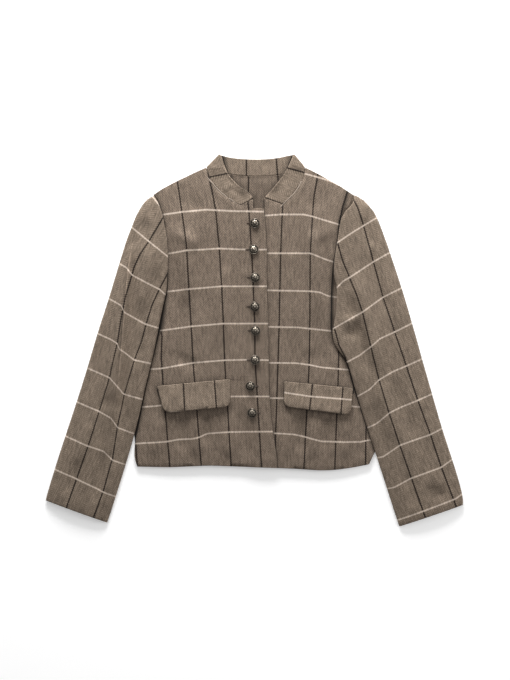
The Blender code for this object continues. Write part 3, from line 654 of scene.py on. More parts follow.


# Painted shade where one layer of cloth meets another or lies beside a flap's edge: a line, its
# strength beside each point, the painted shade on the line's left; on the collar and a sleeve a painted
# highlight runs along the line's right. All lines of a piece are far apart.
RIGHT_PAINTED_SHADE = [
    [(148, 186, 0.7), (154.4, 195, 0.7), (159.4, 203.5, 0.7), (162.8, 213.5, 0.65),
     (165.6, 228, 0.5), (167.3, 245, 0.65), (167.6, 262, 0.9), (167.2, 285, 1.0), (166.4, 294, 1.4),
     (163.8, 303, 2.6), (161.8, 314, 3.0), (160.4, 325, 3.0), (157.4, 337, 1.8), (151, 363.2, 1.1),
     (144.6, 391.2, 1.1), (139.8, 415, 1.7), (135.7, 435.9, 1.3), (131.6, 452, 0.5), (127, 475, 0.3)],
    [(163.4, 410, 0.3), (160.4, 400, 0.7), (157.4, 391, 1.0), (157.2, 386.2, 1.0), (187.2, 383.2, 0.7),
     (229.5, 379.2, 0.6)],
]
LEFT_PAINTED_SHADE = [
    [(385, 480, 0.4), (370, 435.8, 1.1), (353.7, 385.9, 1.4), (347.2, 362.1, 1.2), (339.6, 351, 1.0),
     (333.2, 339, 1.2), (331.2, 327, 1.3), (331.6, 294, 1.2), (333.2, 265, 1.0), (337.0, 243, 1.0),
     (339.2, 223, 0.9), (347.8, 190.7, 0.8), (351, 180, 0.8)],
    [(263.9, 200, 0.8), (264.4, 216, 0.8), (265.6, 230, 0.8), (266.5, 248, 0.8), (266.7, 290, 0.8),
     (268.0, 330, 0.8), (268.9, 380, 0.8), (269.6, 400, 0.8), (271.5, 420, 0.8), (274.3, 440, 0.8),
     (276.5, 455, 0.8), (278, 480, 0.8)],
    [(287, 408, 0.3), (284, 403, 0.6), (283.6, 392, 0.7), (284.6, 381.4, 0.8), (313.9, 384.3, 0.8),
     (352.6, 388.2, 0.8)],
]
# Painted shade in the collar's turns, with a painted highlight along its free edges
COLLAR_PAINTED_SHADE_AND_HIGHLIGHT = [
    [(220.2, 150, 2.6), (221.8, 155, 2.6), (223.6, 162, 2.2), (226.2, 169, 1.2), (230, 175.5, 0.5),
     (237.4, 184.6, 0.3), (252.6, 197, 0.3), (256, 200, 0.3)],
    [(262, 200, 0.3), (270.4, 191.1, 0.3), (280.9, 178.1, 0.4), (285.5, 171.1, 0.7), (289, 164.3, 1.2),
     (291.6, 158.4, 1.8), (294, 150, 1.8)],
]
BACK_PAINTED_SHADE = [
    [(222, 168, 1.3), (231, 178, 1.2), (237.4, 184.6, 1.0), (243.6, 189.1, 0.9), (252.6, 197, 0.9),
     (254, 214, 0.9)],
    [(262.5, 214, 0.7), (265, 197, 0.7), (270.4, 191.1, 0.6), (280.9, 178.1, 0.5), (286, 168, 0.5)],
]
# A ridge on the sleeve: painted shade on the line's left, a painted highlight on its right
SLEEVE_PAINTED_SHADE_AND_HIGHLIGHT = [
    [(115.5, 400, 0.0), (118.6, 372, 0.2), (121.0, 347, 0.4), (122.8, 324, 0.45), (124.8, 300, 0.45),
     (126.4, 281, 0.4), (128.4, 262, 0.3), (131.5, 242, 0.0)],
]
FAR = 99.0


def lay_painted_lines(mesh, painted_lines):
    """Store the distance from the nearest line of painted shade, in millimetres, and its strength."""
    plan = spots_of(mesh)[:, :2]
    gap = np.full(len(plan), FAR)
    strength = np.zeros(len(plan))
    for fold in painted_lines:
        nearest, share, places = nearest_on(plan, line_of([spot[:2] for spot in fold]))
        closer = np.abs(nearest / MM) < np.abs(gap)
        gap = np.where(closer, nearest / MM, gap)
        strength = np.where(closer, np.interp(share, places, [spot[2] for spot in fold]), strength)
    lay_pairs(mesh, "fold", gap, strength)


# Looks

def linear(code):
    """An sRGB colour, as six hex digits, in linear values."""
    parts = [int(code[index:index + 2], 16) / 255.0 for index in (0, 2, 4)]
    values = [((part + 0.055) / 1.055) ** 2.4 if part > 0.04045 else part / 12.92 for part in parts]
    return (*values, 1.0)


def add(tree, kind, inputs=None, **settings):
    """Add a shader node; an input is given a value, an output, or a node for its first output."""
    made = tree.nodes.new("ShaderNode" + kind)
    for key, value in settings.items():
        setattr(made, key, value)
    for socket, value in (inputs or {}).items():
        if isinstance(value, bpy.types.Node):
            value = value.outputs[0]
        if isinstance(value, bpy.types.NodeSocket):
            tree.links.new(value, made.inputs[socket])
        else:
            made.inputs[socket].default_value = value
    return made


def fresh_look(name):
    look = bpy.data.materials.new(name)
    look.use_nodes = True
    look.node_tree.nodes.clear()
    return look, look.node_tree


# A Map Range's sockets 1 and 2 are the range that it reads, 3 and 4 the one that it gives; a
# colour Mix goes from socket 6 to 7. Distances in the cloth's maps are in millimetres.
FOLD_LINE = (0.7, 2.4)          # beside a fold the painted black shade line fades between these
FOLD_SHADE = 11.0               # and the soft painted shade within this
FOLD_LINE_DARK = 0.88
FOLD_SHADE_DARK = 0.30
FOLD_DARKEST = 0.94
FOLD_BEHIND = -0.2              # the painted shade is full from here on towards the line's left
HIGHLIGHT_START = (-3.6, -1.6)       # the painted highlight band of a folded edge, on the line's right
HIGHLIGHT_END = (-0.3, -0.8)
HIGHLIGHT_FULL = 0.3                 # from this strength on an edge's painted highlight is full


def painted_shade_and_highlight(tree, behind, edge_highlight):
    """Painted shade where the cloth goes under another layer; a painted highlight along a free folded
    edge.
    """
    fold = add(tree, "UVMap", uv_map="fold")
    gap, strength, _ = add(tree, "SeparateXYZ", {0: fold}).outputs
    line = add(tree, "MapRange", {0: gap, 1: FOLD_LINE[0], 2: FOLD_LINE[1], 3: FOLD_LINE_DARK, 4: 0.0})
    soft = add(tree, "MapRange", {0: gap, 1: 0.0, 2: FOLD_SHADE, 3: FOLD_SHADE_DARK, 4: 0.0},
               interpolation_type="SMOOTHSTEP")
    side = add(tree, "MapRange", {0: gap, 1: -behind, 2: FOLD_BEHIND})
    dark = add(tree, "Math", {0: line, 1: soft}, operation="MAXIMUM")
    for share in (side, strength):
        dark = add(tree, "Math", {0: dark, 1: share}, operation="MULTIPLY")
    dark = add(tree, "Math", {0: dark, 1: FOLD_DARKEST}, operation="MINIMUM")
    edge = add(tree, "MapRange", {0: gap, 1: HIGHLIGHT_START[0], 2: HIGHLIGHT_START[1], 3: 0.0, 4: edge_highlight})
    near = add(tree, "MapRange", {0: gap, 1: HIGHLIGHT_END[0], 2: HIGHLIGHT_END[1]})
    here = add(tree, "MapRange", {0: strength, 1: 0.0, 2: HIGHLIGHT_FULL})
    for share in (near, here):
        edge = add(tree, "Math", {0: edge, 1: share}, operation="MULTIPLY")
    tone = add(tree, "Math", {0: edge, 1: 1.0}, operation="ADD")
    return add(tree, "Math", {0: tone, 1: dark}, operation="SUBTRACT")


def herringbone_ribs(tree, across, along, cloth):
    """Twill ribs, which change direction and break by half a rib at each column."""
    wave = add(tree, "Math", {0: across, 1: COLUMN / MM}, operation="PINGPONG")
    column = add(tree, "Math", {0: across, 1: COLUMN / MM}, operation="DIVIDE")
    column = add(tree, "Math", {0: column}, operation="FLOOR")
    half = add(tree, "Math", {0: column, 1: 1.0}, operation="PINGPONG")
    wander = add(tree, "TexNoise", {"Vector": cloth, "Scale": 0.45, "Detail": 1.0})
    slant = add(tree, "Math", {0: along, 1: wave}, operation="ADD")
    slant = add(tree, "Math", {0: wander, 1: 0.7, 2: slant}, operation="MULTIPLY_ADD")
    phase = add(tree, "Math", {0: slant, 1: MM / TWILL}, operation="MULTIPLY")
    phase = add(tree, "Math", {0: half, 1: 0.5, 2: phase}, operation="MULTIPLY_ADD")
    turns = add(tree, "Math", {0: phase, 1: 2.0 * math.pi}, operation="MULTIPLY")
    rib = add(tree, "Math", {0: turns}, operation="SINE")
    return add(tree, "MapRange", {0: rib, 1: -0.9, 2: 0.9})


def check_line(tree, count, spacing, width, rough_edge, strength):
    """How much of a check line's colour shows: its strength on the line and nothing beside it."""
    gap = add(tree, "Math", {0: count, 1: 0.5}, operation="PINGPONG")
    gap = add(tree, "Math", {0: gap, 1: spacing / MM, 2: rough_edge}, operation="MULTIPLY_ADD")
    half = width / MM / 2.0
    return add(tree, "MapRange", {0: gap, 1: half - LINE_FADE[0], 2: half + LINE_FADE[1], 3: strength,
                                  4: 0.0})


def yarn_tone(tree, cloth, fibre, tone):
    """Dyed fibres mixed in the yarn, lighter and darker yarns, and slight wear over larger areas."""
    drawn = add(tree, "Mapping", {0: cloth, 3: (0.26, 0.055, 1.0)})
    yarns = add(tree, "TexNoise", {"Vector": drawn, "Scale": 1.0, "Detail": 2.0, "Roughness": 0.6})
    worn = add(tree, "TexNoise", {"Vector": cloth, "Scale": 0.03, "Detail": 3.0})
    # Each noise, how far from its middle it counts, and how much it lightens or darkens
    for noise, spread, depth in ((fibre, 0.25, 0.42), (worn, 0.2, 0.07), (yarns, 0.2, 0.28)):
        shade = add(tree, "MapRange", {0: noise, 1: 0.5 - spread, 2: 0.5 + spread, 3: 1.0 - depth,
                                       4: 1.0 + depth})
        tone = add(tree, "Math", {0: tone, 1: shade}, operation="MULTIPLY")
    return tone


def herringbone_wool(name, rib_light, rib_dark, cream, dark, behind=6.0, edge_highlight=0.0):
    """Woven wool suiting: herringbone with a windowpane check, matt, with a short soft nap."""
    look, tree = fresh_look(name)
    check = add(tree, "UVMap", uv_map="check")
    dark_count, cream_count, _ = add(tree, "SeparateXYZ", {0: check}).outputs
    across = add(tree, "Math", {0: dark_count, 1: DARK_SPACING / MM}, operation="MULTIPLY")
    along = add(tree, "Math", {0: cream_count, 1: CREAM_SPACING / MM}, operation="MULTIPLY")
    cloth = add(tree, "CombineXYZ", {0: across, 1: along})
    rib = herringbone_ribs(tree, across, along, cloth)
    fibre = add(tree, "TexNoise", {"Vector": cloth, "Scale": 0.34, "Detail": 4.0, "Roughness": 0.7})

    # Check lines over the ground, with soft edges that the ribs and fibres break up
    rough_edge = add(tree, "Math", {0: rib, 1: 0.55, 2: fibre}, operation="MULTIPLY_ADD")
    rough_edge = add(tree, "Math", {0: rough_edge, 1: 0.78}, operation="SUBTRACT")
    dark_line = check_line(tree, dark_count, DARK_SPACING, DARK_WIDTH, rough_edge,
                           DARK_STRENGTH)
    cream_line = check_line(tree, cream_count, CREAM_SPACING, CREAM_WIDTH, rough_edge,
                            CREAM_STRENGTH)
    ground = linear(rib_dark)
    for share, colour in ((rib, rib_light), (dark_line, dark), (cream_line, cream)):
        mixed = add(tree, "Mix", {0: share, 6: ground, 7: linear(colour)}, data_type="RGBA")
        ground = mixed.outputs[2]
    # The tone carries painted shade beside the piece's fold lines, and a painted highlight along them
    # where the edge's highlight amount is above zero
    tone = yarn_tone(tree, cloth, fibre, painted_shade_and_highlight(tree, behind, edge_highlight))
    toned = add(tree, "VectorMath", {0: ground, 3: tone}, operation="SCALE")

    # Ribs and nap as relief
    nap = add(tree, "TexNoise", {"Vector": cloth, "Scale": 1.8, "Detail": 2.0})
    relief = add(tree, "Math", {0: nap, 1: 0.8, 2: rib}, operation="MULTIPLY_ADD")
    bump = add(tree, "Bump", {"Strength": 0.35, "Distance": 0.35 * MM, "Height": relief})
    wool = add(tree, "BsdfPrincipled", {
        "Base Color": toned, "Roughness": 0.92, "Specular IOR Level": 0.25, "Sheen Weight": 0.22,
        "Sheen Roughness": 0.45, "Sheen Tint": linear("d8cabc"), "Normal": bump})
    add(tree, "OutputMaterial", {"Surface": wool})
    return look


FACE_WOOL = herringbone_wool("wool_suiting", "796b5e", "5f5348", "baab9d", "180f0a")
# This copy adds a painted highlight along folded edges, and its painted shade reaches less far to the
# line's right
EDGE_HIGHLIGHT_WOOL = herringbone_wool("wool_suiting_edge_highlight", "7e7062", "63574b", "baab9d", "180f0a",
                                behind=0.6, edge_highlight=0.42)
INSIDE_WOOL = herringbone_wool("wool_suiting_inside", "6e6155", "564b41", "ad9f92", "180f0a")


# The body

def check_on(mesh, dark, cream, turn=0.0):
    """Each point's places among the dark lines and among the cream ones."""
    plan = spots_of(mesh)[:, :2]
    return (count_lines(plan, dark, 0, DARK_SPACING, turn),
            count_lines(plan, cream, 1, CREAM_SPACING, turn))


def cloth_piece(node, mesh, look, check, painted_lines=()):
    lay_pairs(mesh, "check", *check)
    lay_painted_lines(mesh, painted_lines)
    return finish_mesh(node + "_cloth", mesh, look, node)


def panel_piece(node, look, dark, cream, painted_lines=(), **form):
    mesh = panel_shell(node, **form)
    return cloth_piece(node, mesh, look, check_on(mesh, dark, cream), painted_lines)


back = panel_piece("back", INSIDE_WOOL, INSIDE_BACK_DARK, INSIDE_BACK_CREAM, BACK_PAINTED_SHADE,
                   cell=BACK_CELL, cloth=BACK_CLOTH)
front_right = panel_piece("front_right", FACE_WOOL, BODY_RIGHT_DARK, BODY_RIGHT_CREAM, RIGHT_PAINTED_SHADE,
                          creases=BODY_RIGHT_CREASES, lowest=FRONT_LEAST)
front_left = panel_piece("front_left", FACE_WOOL, BODY_LEFT_DARK, BODY_LEFT_CREAM, LEFT_PAINTED_SHADE,
                         creases=BODY_LEFT_CREASES, lowest=FRONT_LEAST)
flap_form = {"cell": FLAP_CELL, "cloth": FLAP_CLOTH, "rounding": FLAP_ROUNDING}
flap_right = panel_piece("flap_right", EDGE_HIGHLIGHT_WOOL, FLAP_RIGHT_DARK, FLAP_RIGHT_CREAM,
                         creases=FLAP_RIGHT_CREASES, **flap_form)
flap_left = panel_piece("flap_left", EDGE_HIGHLIGHT_WOOL, FLAP_LEFT_DARK, FLAP_LEFT_CREAM,
                        creases=FLAP_LEFT_CREASES, **flap_form)


# The sleeves

def sleeve_piece(node, edges, turn, creases, dark, cream, armpit, painted_lines=()):
    mesh = sleeve_shell(node, edges, turn, creases, place(*armpit)[1])
    return cloth_piece(node, mesh, EDGE_HIGHLIGHT_WOOL, check_on(mesh, dark, cream, turn), painted_lines)


sleeve_right = sleeve_piece("sleeve_right", SLEEVE_RIGHT_EDGES, SLEEVE_TURN, SLEEVE_RIGHT_CREASES,
                            SLEEVE_RIGHT_DARK, SLEEVE_RIGHT_CREAM, (166, 284), SLEEVE_PAINTED_SHADE_AND_HIGHLIGHT)
sleeve_left = sleeve_piece("sleeve_left", SLEEVE_LEFT_EDGES, -SLEEVE_TURN, SLEEVE_LEFT_CREASES,
                           SLEEVE_LEFT_DARK, SLEEVE_LEFT_CREAM, (335, 238))


# The collar

COLLAR_RIGHT_DARK = {0: [(226.9, 173.5), (210.1, 176.8)], 1: [(251.7, 199.8), (241.2, 205.5)]}
COLLAR_LEFT_DARK = {0: [(288.6, 168.2), (304.8, 172.5)], 1: [(264.7, 197.9), (281.9, 204.1)]}
COLLAR_BACK_DARK = {0: [(246.5, 150), (246.5, 185)], 1: [(275.6, 150), (278.4, 185)]}
# Its rolled edges stand up a little; shallow waves cross it
COLLAR_CREASES = [
    ([(252.6, 197), (249.6, 193), (243.6, 189.1), (237.4, 184.6), (231.2, 178.1), (226.6, 172.4),
      (223.4, 167), (221.1, 160.5)], 0.34, 2.6, 2.6),
    ([(292, 158.4), (289, 164.3), (285.5, 171.1), (280.9, 178.1), (275.7, 185), (270.4, 191.1),
      (265.9, 195.5)], 0.34, 2.6, 2.6),
    ([(247, 199), (240, 195), (232, 189.5), (225, 182.5)], -0.22, 5, 5),
    ([(268, 198), (276, 192), (283, 184.5), (289, 175.5)], -0.22, 5, 5),
    ([(232, 183), (228, 187), (223, 191)], 0.30, 7, 6),
    ([(222, 165), (216, 168), (210, 170)], 0.32, 6, 8),
    ([(281, 182), (286, 187), (292, 191)], 0.28, 6, 7),
    ([(290, 163), (297, 166), (303, 168)], 0.32, 8, 6),
]
COLLAR_TURN_HEIGHT = 3.0 * MM   # above it the collar is turned on to the fronts
COLLAR_CREASED = 5.0 * MM       # and above this it has creases
COLLAR_CORNER = math.radians(50.0)
COLLAR_ROUND = 1.15 * MM        # how far its sharper edges are rounded
NECK_MIDDLE = (256.0, 200.0)


def strip_count(plan, lines, turn, members):
    """Places along and across one run of the collar; across keeps clear of the cream lines."""
    along = count_lines(plan, lines, 0, DARK_SPACING, turn)
    across = plan[:, 0] * math.sin(turn) + plan[:, 1] * math.cos(turn)
    middle = (across[members].min() + across[members].max()) / 2.0
    return along, 0.5 + (across - middle) / CREAM_SPACING


def collar_shell():
    """The collar's solid with rounded edges and its creases."""
    bm = solid_of("collar")
    join_quads(bm)
    bm.normal_update()
    sharp = [edge for edge in bm.edges if edge.calc_face_angle(0.0) > COLLAR_CORNER]
    bmesh.ops.bevel(bm, geom=sharp, offset=COLLAR_ROUND, segments=2, profile=0.5, affect="EDGES",
                    material=-1)
    mesh = evaluated(bm, "collar_shell", "SUBSURF", {"levels": 3, "render_levels": 3})
    spots = spots_of(mesh)
    creases = crease_heights(spots[:, :2], COLLAR_CREASES)
    spots[:, 2] += np.where(spots[:, 2] > COLLAR_CREASED, creases, 0.0)
    mesh.vertices.foreach_set("co", spots.ravel())
    return mesh


def collar_check(mesh):
    """The check's places on the collar's three runs: its two turned ends and its back."""
    spots = spots_of(mesh)
    plan = spots[:, :2]
    turned = spots[:, 2] > COLLAR_TURN_HEIGHT
    on_right = plan[:, 0] < place(*NECK_MIDDLE)[0]
    runs = ((turned & on_right, COLLAR_RIGHT_DARK, math.radians(51.0)),
            (turned & ~on_right, COLLAR_LEFT_DARK, math.radians(-57.0)),
            (~turned, COLLAR_BACK_DARK, 0.0))
    check = np.zeros((2, len(spots)))
    for members, lines, turn in runs:
        check = np.where(members, strip_count(plan, lines, turn, members), check)
    return check


collar_mesh = collar_shell()
collar = cloth_piece("collar", collar_mesh, EDGE_HIGHLIGHT_WOOL, collar_check(collar_mesh), COLLAR_PAINTED_SHADE_AND_HIGHLIGHT)


# What is sewn on to the cloth: a narrow roll along the neck seam, coloured lighter than the cloth as a
# painted highlight, and worked buttonholes

CLOTH_HEIGHT = 8.0 * MM
ROLL_SIDES = 8
ROLL_STEP = 1.6 * MM
ROLL_TAPER = 3.0                # steps over which an open roll thickens
ROLL_TIP = 0.4                  # its very end is as thick as this part of a step makes it
NECK_ROLL_WIDTH = 2.3 * MM
NECK_ROLL_HEIGHT = 0.9 * MM
NECK_RIGHT = [(207.5, 177.5), (210.5, 181.5), (213.5, 184.5), (217.5, 189), (222, 193.3), (227, 197),
              (232, 200.3), (236.5, 203), (240.5, 205.4)]
NECK_LEFT = [(302.5, 178.5), (300.8, 183), (298, 188.2), (294.5, 193), (290.5, 197), (286.5, 200.8),
             (283, 204.3), (279.5, 208)]
HOLE_WIDTH = 3.2 * MM
HOLE_LIP = 1.5 * MM
HOLE_LIP_HEIGHT = 0.55 * MM
HOLE_SHORT = 6.0 * MM           # how far a hole reaches past its button's middle on one side
HOLE_LONG = 15.0 * MM           # and on the side to which the button's shank doesn't slide
HOLE_CORNER = 6
BUTTON_COUNT = 8
FIRST_SLID = 7                  # from this button on, the shank is at the hole's other end


def even_steps(spots, step, closed):
    """The same path with points at even steps."""
    if closed:
        spots = np.vstack([spots, spots[:1]])
    starts = np.concatenate([[0.0], np.cumsum(np.linalg.norm(np.diff(spots, axis=0), axis=1))])
    count = max(4, round(starts[-1] / step))
    at = np.linspace(0.0, starts[-1], count + 1)
    if closed:
        at = at[:-1]
    return np.stack([np.interp(at, starts, spots[:, 0]), np.interp(at, starts, spots[:, 1])], axis=1)


def join_rings(bm, rings, closed):
    """Close a roll between its rings, with the map that the thread's turns follow."""
    layer = bm.loops.layers.uv.active
    for near in range(len(rings) if closed else len(rings) - 1):
        this, other = rings[near], rings[(near + 1) % len(rings)]
        for side in range(ROLL_SIDES):
            after = (side + 1) % ROLL_SIDES
            face = bm.faces.new((this[side], this[after], other[after], other[side]))
            corners = [(near, side), (near, side + 1), (near + 1, side + 1), (near + 1, side)]
            for loop, (along, around) in zip(face.loops, corners):
                loop[layer].uv = (along * ROLL_STEP / MM, around / ROLL_SIDES)
    if not closed:
        bm.faces.new(rings[0])
        bm.faces.new(rings[-1])


def add_roll(bm, spots, surface, width, height, closed=False):
    """Add a roll of thread or cloth along a path on a surface."""
    spots = even_steps(spots, ROLL_STEP, closed)
    before = np.roll(spots, 1, axis=0)
    after = np.roll(spots, -1, axis=0)
    if not closed:
        before[0] = spots[0]
        after[-1] = spots[-1]
    run = (after - before) / np.linalg.norm(after - before, axis=1)[:, None]
    rings = []
    for index, (x, y) in enumerate(spots):
        level = top_of(surface, x, y, CLOTH_HEIGHT)[0].z
        to_end = min(index, len(spots) - 1 - index)
        thin = 1.0 if closed else min(1.0, (to_end + ROLL_TIP) / ROLL_TAPER)
        ring = []
        for side in range(ROLL_SIDES):
            angle = 2.0 * math.pi * side / ROLL_SIDES
            aside = math.cos(angle) * width / 2.0 * thin
            up = math.sin(angle) * height * thin
            ring.append(bm.verts.new((x - run[index][1] * aside, y + run[index][0] * aside, level + up)))
        rings.append(ring)
    join_rings(bm, rings, closed)


def twisted_thread(name, light, dark, twist):
    """Twisted woollen or sewing thread, matt, with its turns showing."""
    look, tree = fresh_look(name)
    where = add(tree, "UVMap", uv_map="run")
    along, around, _ = add(tree, "SeparateXYZ", {0: where}).outputs
    turn = add(tree, "Math", {0: along, 1: 1.0 / twist, 2: around}, operation="MULTIPLY_ADD")
    turn = add(tree, "Math", {0: turn, 1: 2.0 * math.pi}, operation="MULTIPLY")
    turn = add(tree, "Math", {0: turn}, operation="SINE")
    spot = add(tree, "TexCoord").outputs["Object"]
    fibre = add(tree, "TexNoise", {"Vector": spot, "Scale": 700.0, "Detail": 3.0})
    mixed = add(tree, "Math", {0: turn, 1: 0.25, 2: fibre}, operation="MULTIPLY_ADD")
    mixed = add(tree, "MapRange", {0: mixed, 1: 0.2, 2: 0.8})
    colour = add(tree, "Mix", {0: mixed, 6: linear(dark), 7: linear(light)}, data_type="RGBA")
    bump = add(tree, "Bump", {"Strength": 0.5, "Distance": 0.15 * MM, "Height": turn})
    thread = add(tree, "BsdfPrincipled", {
        "Base Color": colour.outputs[2], "Roughness": 0.85, "Specular IOR Level": 0.3,
        "Sheen Weight": 0.2, "Sheen Roughness": 0.45, "Normal": bump})
    add(tree, "OutputMaterial", {"Surface": thread})
    return look


def sewing():
    """An empty mesh with the map that a thread's turns follow."""
    bm = bmesh.new()
    bm.loops.layers.uv.new("run")
    return bm


def sewn_piece(name, bm, look):
    bmesh.ops.recalc_face_normals(bm, faces=bm.faces[:])
    return finish_mesh(name, mesh_of(bm, name), look)


def neck_roll(name, path, under):
    bm = sewing()
    add_roll(bm, line_of(path), surface_of(under), NECK_ROLL_WIDTH, NECK_ROLL_HEIGHT)
    return sewn_piece(name, bm, HIGHLIT_SEAM_WOOL)


def hole_outline(middle, left, right, half):
    """A stadium shape round a buttonhole's slit."""
    turns = [math.pi * step / HOLE_CORNER for step in range(HOLE_CORNER + 1)]
    ends = [(middle.x + right - half + math.sin(turn) * half, middle.y - math.cos(turn) * half)
            for turn in turns]
    ends += [(middle.x - left + half - math.sin(turn) * half, middle.y + math.cos(turn) * half)
             for turn in turns]
    return np.array(ends)


def buttonholes(under):
    """Worked thread round eight slits; the lowest two buttons have slid to the other end."""
    bm = sewing()
    surface = surface_of(under)
    half = (HOLE_WIDTH - HOLE_LIP) / 2.0
    for number in range(1, BUTTON_COUNT + 1):
        low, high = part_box(f"button_{number}")
        left, right = (HOLE_LONG, HOLE_SHORT) if number < FIRST_SLID else (HOLE_SHORT, HOLE_LONG)
        outline = hole_outline((low + high) / 2.0, left, right, half)
        add_roll(bm, outline, surface, HOLE_LIP, HOLE_LIP_HEIGHT, closed=True)
    return sewn_piece("buttonholes", bm, HOLE_THREAD)


# The neck roll's wool is lighter than the cloth: a painted highlight on a real rolled edge
HIGHLIT_SEAM_WOOL = twisted_thread("wool_seam_roll_painted_highlight", "94877a", "766a5e", 2.2)
HOLE_THREAD = twisted_thread("buttonhole_thread", "4e4035", "2a2019", 0.9)
neck_roll_right = neck_roll("neck_roll_right", NECK_RIGHT, front_right)
neck_roll_left = neck_roll("neck_roll_left", NECK_LEFT, front_left)
holes = buttonholes(front_right)


# The buttons

BUTTON_STEPS = 72
BUTTON_WELD = 0.001 * MM
BUTTON_PETALS = 8
BUTTON_RIM_NOTCHES = 24
BUTTON_PROFILE = [
    (0.0, 0.0), (2.2, 0.0), (2.3, 1.9), (3.2, 2.25), (7.6, 2.35), (8.6, 2.7), (9.0, 3.2),
    (8.9, 3.7), (8.4, 4.0), (7.8, 3.95), (7.4, 3.55), (7.1, 3.5), (6.8, 3.75), (6.2, 4.25),
    (5.4, 4.7), (4.6, 5.1), (3.7, 5.5), (2.8, 5.85), (2.2, 6.0), (1.8, 5.9), (1.5, 6.1),
    (0.9, 6.4), (0.0, 6.5),
]
# Its relief, in millimetres: a notched rim, petals and a boss, all on its upper side
RELIEF_OVER = 3.3
RIM_FROM = 7.7
NOTCH_HEIGHT = 0.22
PETALS_FROM = 2.6
PETALS_TO = 6.5
PETAL_HEIGHT = 0.42
PETAL_MIDDLE = 0.6              # more of a petal than this rises, less sinks
BOSS_TO = 1.9
# How worn and bright the metal is in its grooves, between its petals and on its boss
GROOVE_WEAR = 0.15
PETAL_WEAR = (0.2, 0.95)
BOSS_WEAR = 0.9
# Each button's lean to the sides and its turn, in degrees
BUTTON_TILTS = [(2, -2), (-3, 2), (2, 3), (3, -2), (0, 0), (-2, 2), (3, -6), (2, -5)]
BUTTON_TURNS = [8, -14, 21, 3, 0, -9, 17, -4]


def pewter_button():
    """Antiqued silver-grey cast metal: worn bright on the ridges, dark in the grooves."""
    look, tree = fresh_look("antique_pewter")
    relief = add(tree, "UVMap", uv_map="relief")
    wear = add(tree, "SeparateXYZ", {0: relief})
    spot = add(tree, "TexCoord").outputs["Object"]
    grain = add(tree, "TexNoise", {"Vector": spot, "Scale": 900.0, "Detail": 3.0})
    worn = add(tree, "Math", {0: grain, 1: 0.35, 2: wear}, operation="MULTIPLY_ADD")
    bright = add(tree, "MapRange", {0: worn, 1: 0.35, 2: 0.95})
    colour = add(tree, "Mix", {0: bright, 6: linear("1b1815"), 7: linear("8f867a")}, data_type="RGBA")
    rough = add(tree, "MapRange", {0: bright, 3: 0.55, 4: 0.36})
    bump = add(tree, "Bump", {"Strength": 0.25, "Distance": 0.1 * MM, "Height": grain})
    metal = add(tree, "BsdfPrincipled", {
        "Base Color": colour.outputs[2], "Metallic": 1.0, "Roughness": rough, "Normal": bump})
    add(tree, "OutputMaterial", {"Surface": metal})
    return look


def relief_at(spot):
    """How much a point of the button rises, in millimetres, and how worn it is."""
    radius = math.hypot(spot.x, spot.y) / MM
    angle = math.atan2(spot.y, spot.x)
    if radius > RIM_FROM and spot.z > RELIEF_OVER * MM:
        wear = 0.5 + 0.5 * math.cos(BUTTON_RIM_NOTCHES * angle)
        return NOTCH_HEIGHT * (wear - 0.5), wear
    if PETALS_FROM < radius < PETALS_TO and spot.z > RELIEF_OVER * MM:
        petal = abs(math.cos(BUTTON_PETALS * angle / 2.0))
        swell = math.sin(math.pi * (radius - PETALS_FROM) / (PETALS_TO - PETALS_FROM))
        wear = PETAL_WEAR[0] + (PETAL_WEAR[1] - PETAL_WEAR[0]) * petal * swell
        return PETAL_HEIGHT * (petal - PETAL_MIDDLE) * swell, wear
    return 0.0, BOSS_WEAR if radius < BOSS_TO else GROOVE_WEAR


def button_mesh(number, tilt, turn):
    """A domed button, spun from its profile, given its relief and set on its place."""
    bm = bmesh.new()
    verts = [bm.verts.new((radius * MM, 0.0, height * MM)) for radius, height in BUTTON_PROFILE]
    edges = [bm.edges.new(pair) for pair in zip(verts, verts[1:])]
    bmesh.ops.spin(bm, geom=verts + edges, cent=(0.0, 0.0, 0.0), axis=(0.0, 0.0, 1.0),
                   angle=2.0 * math.pi, steps=BUTTON_STEPS, use_merge=True)
    bmesh.ops.remove_doubles(bm, verts=bm.verts[:], dist=BUTTON_WELD)
    bmesh.ops.recalc_face_normals(bm, faces=bm.faces[:])
    layer = bm.loops.layers.uv.new("relief")
    for vert in bm.verts:
        rise, wear = relief_at(vert.co)
        vert.co.z += rise * MM
        for loop in vert.link_loops:
            loop[layer].uv = (wear, 0.0)
    low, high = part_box(f"button_{number}")
    lean = Matrix.Rotation(math.radians(tilt[0]), 4, "X") @ Matrix.Rotation(math.radians(tilt[1]), 4, "Y")
    middle = (low + high) / 2.0
    spin = Matrix.Rotation(math.radians(turn), 4, "Z")
    put = Matrix.Translation((middle.x, middle.y, low.z)) @ lean @ spin
    bmesh.ops.transform(bm, matrix=put, verts=bm.verts[:])
    return mesh_of(bm, f"button_{number}_metal")


PEWTER = pewter_button()
for number, (tilt, turn) in enumerate(zip(BUTTON_TILTS, BUTTON_TURNS), start=1):
    metal = button_mesh(number, tilt, turn)
    finish_mesh(f"button_{number}_metal", metal, PEWTER, f"button_{number}")


# Floor, light and camera

FLOOR_HALF = 3.0
FLOOR_DEPTH = 0.2 * MM
ROOM_LIGHT = (0.14, 0.94)       # below the hem and beyond the collar
LENS = 85.0
SENSOR = 36.0


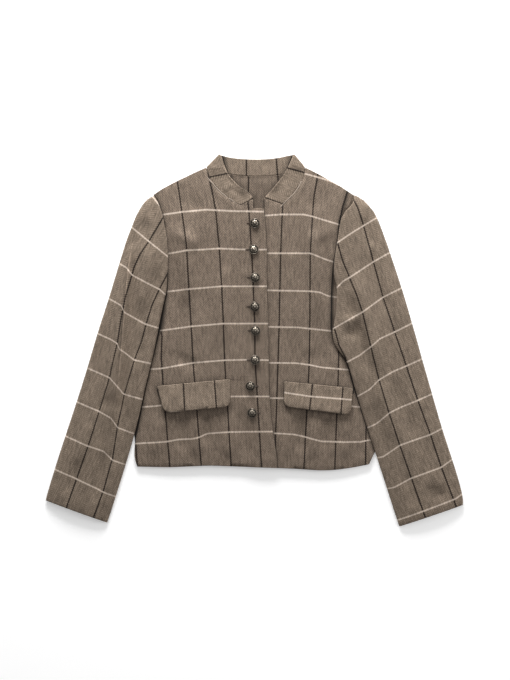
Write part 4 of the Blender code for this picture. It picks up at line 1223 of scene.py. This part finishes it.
def white_table(glow):
    """A matt white table top, lit a little from inside like a photographer's table."""
    look, tree = fresh_look("white_table")
    plain = add(tree, "BsdfPrincipled", {
        "Base Color": linear("fafafa"), "Roughness": 0.9, "Emission Strength": glow})
    add(tree, "OutputMaterial", {"Surface": plain})
    return look


def soft_light(name, spot, size, power):
    """A rectangular soft light that looks at the jacket's middle."""
    lamp = bpy.data.lights.new(name, "AREA")
    lamp.shape = "RECTANGLE"
    lamp.size, lamp.size_y = size
    lamp.energy = power
    holder = bpy.data.objects.new(name, lamp)
    bpy.context.scene.collection.objects.link(holder)
    turned = (-Vector(spot)).to_track_quat("-Z", "Y")
    holder.matrix_world = Matrix.Translation(spot) @ turned.to_matrix().to_4x4()


def studio_room():
    """A white studio room that is brighter beyond the collar than below the hem."""
    room = bpy.data.worlds.new("studio_room")
    room.use_nodes = True
    tree = room.node_tree
    tree.nodes.clear()
    towards = add(tree, "TexCoord").outputs["Generated"]
    towards = add(tree, "SeparateXYZ", {0: towards}).outputs[1]
    glow = add(tree, "MapRange", {0: towards, 1: -1.0, 2: 1.0, 3: ROOM_LIGHT[0], 4: ROOM_LIGHT[1]})
    light = add(tree, "Background", {"Strength": glow})
    add(tree, "OutputWorld", {"Surface": light})
    return room


bm = bmesh.new()
bmesh.ops.create_grid(bm, x_segments=1, y_segments=1, size=FLOOR_HALF)
bmesh.ops.translate(bm, verts=bm.verts[:], vec=(0.0, 0.0, -FLOOR_DEPTH))
floor = bpy.data.objects.new("table_top", mesh_of(bm, "table_top"))
floor.data.materials.append(white_table(glow=0.26))
bpy.context.scene.collection.objects.link(floor)

soft_light("window", spot=(-0.15, 1.75, 0.52), size=(1.0, 0.8), power=79.0)
soft_light("side", spot=(1.7, 0.1, 0.75), size=(0.5, 0.9), power=9.0)
bpy.context.scene.world = studio_room()
bpy.context.scene.view_settings.view_transform = "Standard"

view = bpy.data.cameras.new("overhead")
view.lens = LENS
view.sensor_width = SENSOR
view.clip_end = 20.0
camera = bpy.data.objects.new("overhead", view)
bpy.context.scene.collection.objects.link(camera)
distance = LENS * PHOTO_SIZE[1] * PIXEL / SENSOR
camera.location = (*place(*PHOTO_MIDDLE), CLOTH_HEIGHT + distance)
bpy.context.scene.camera = camera
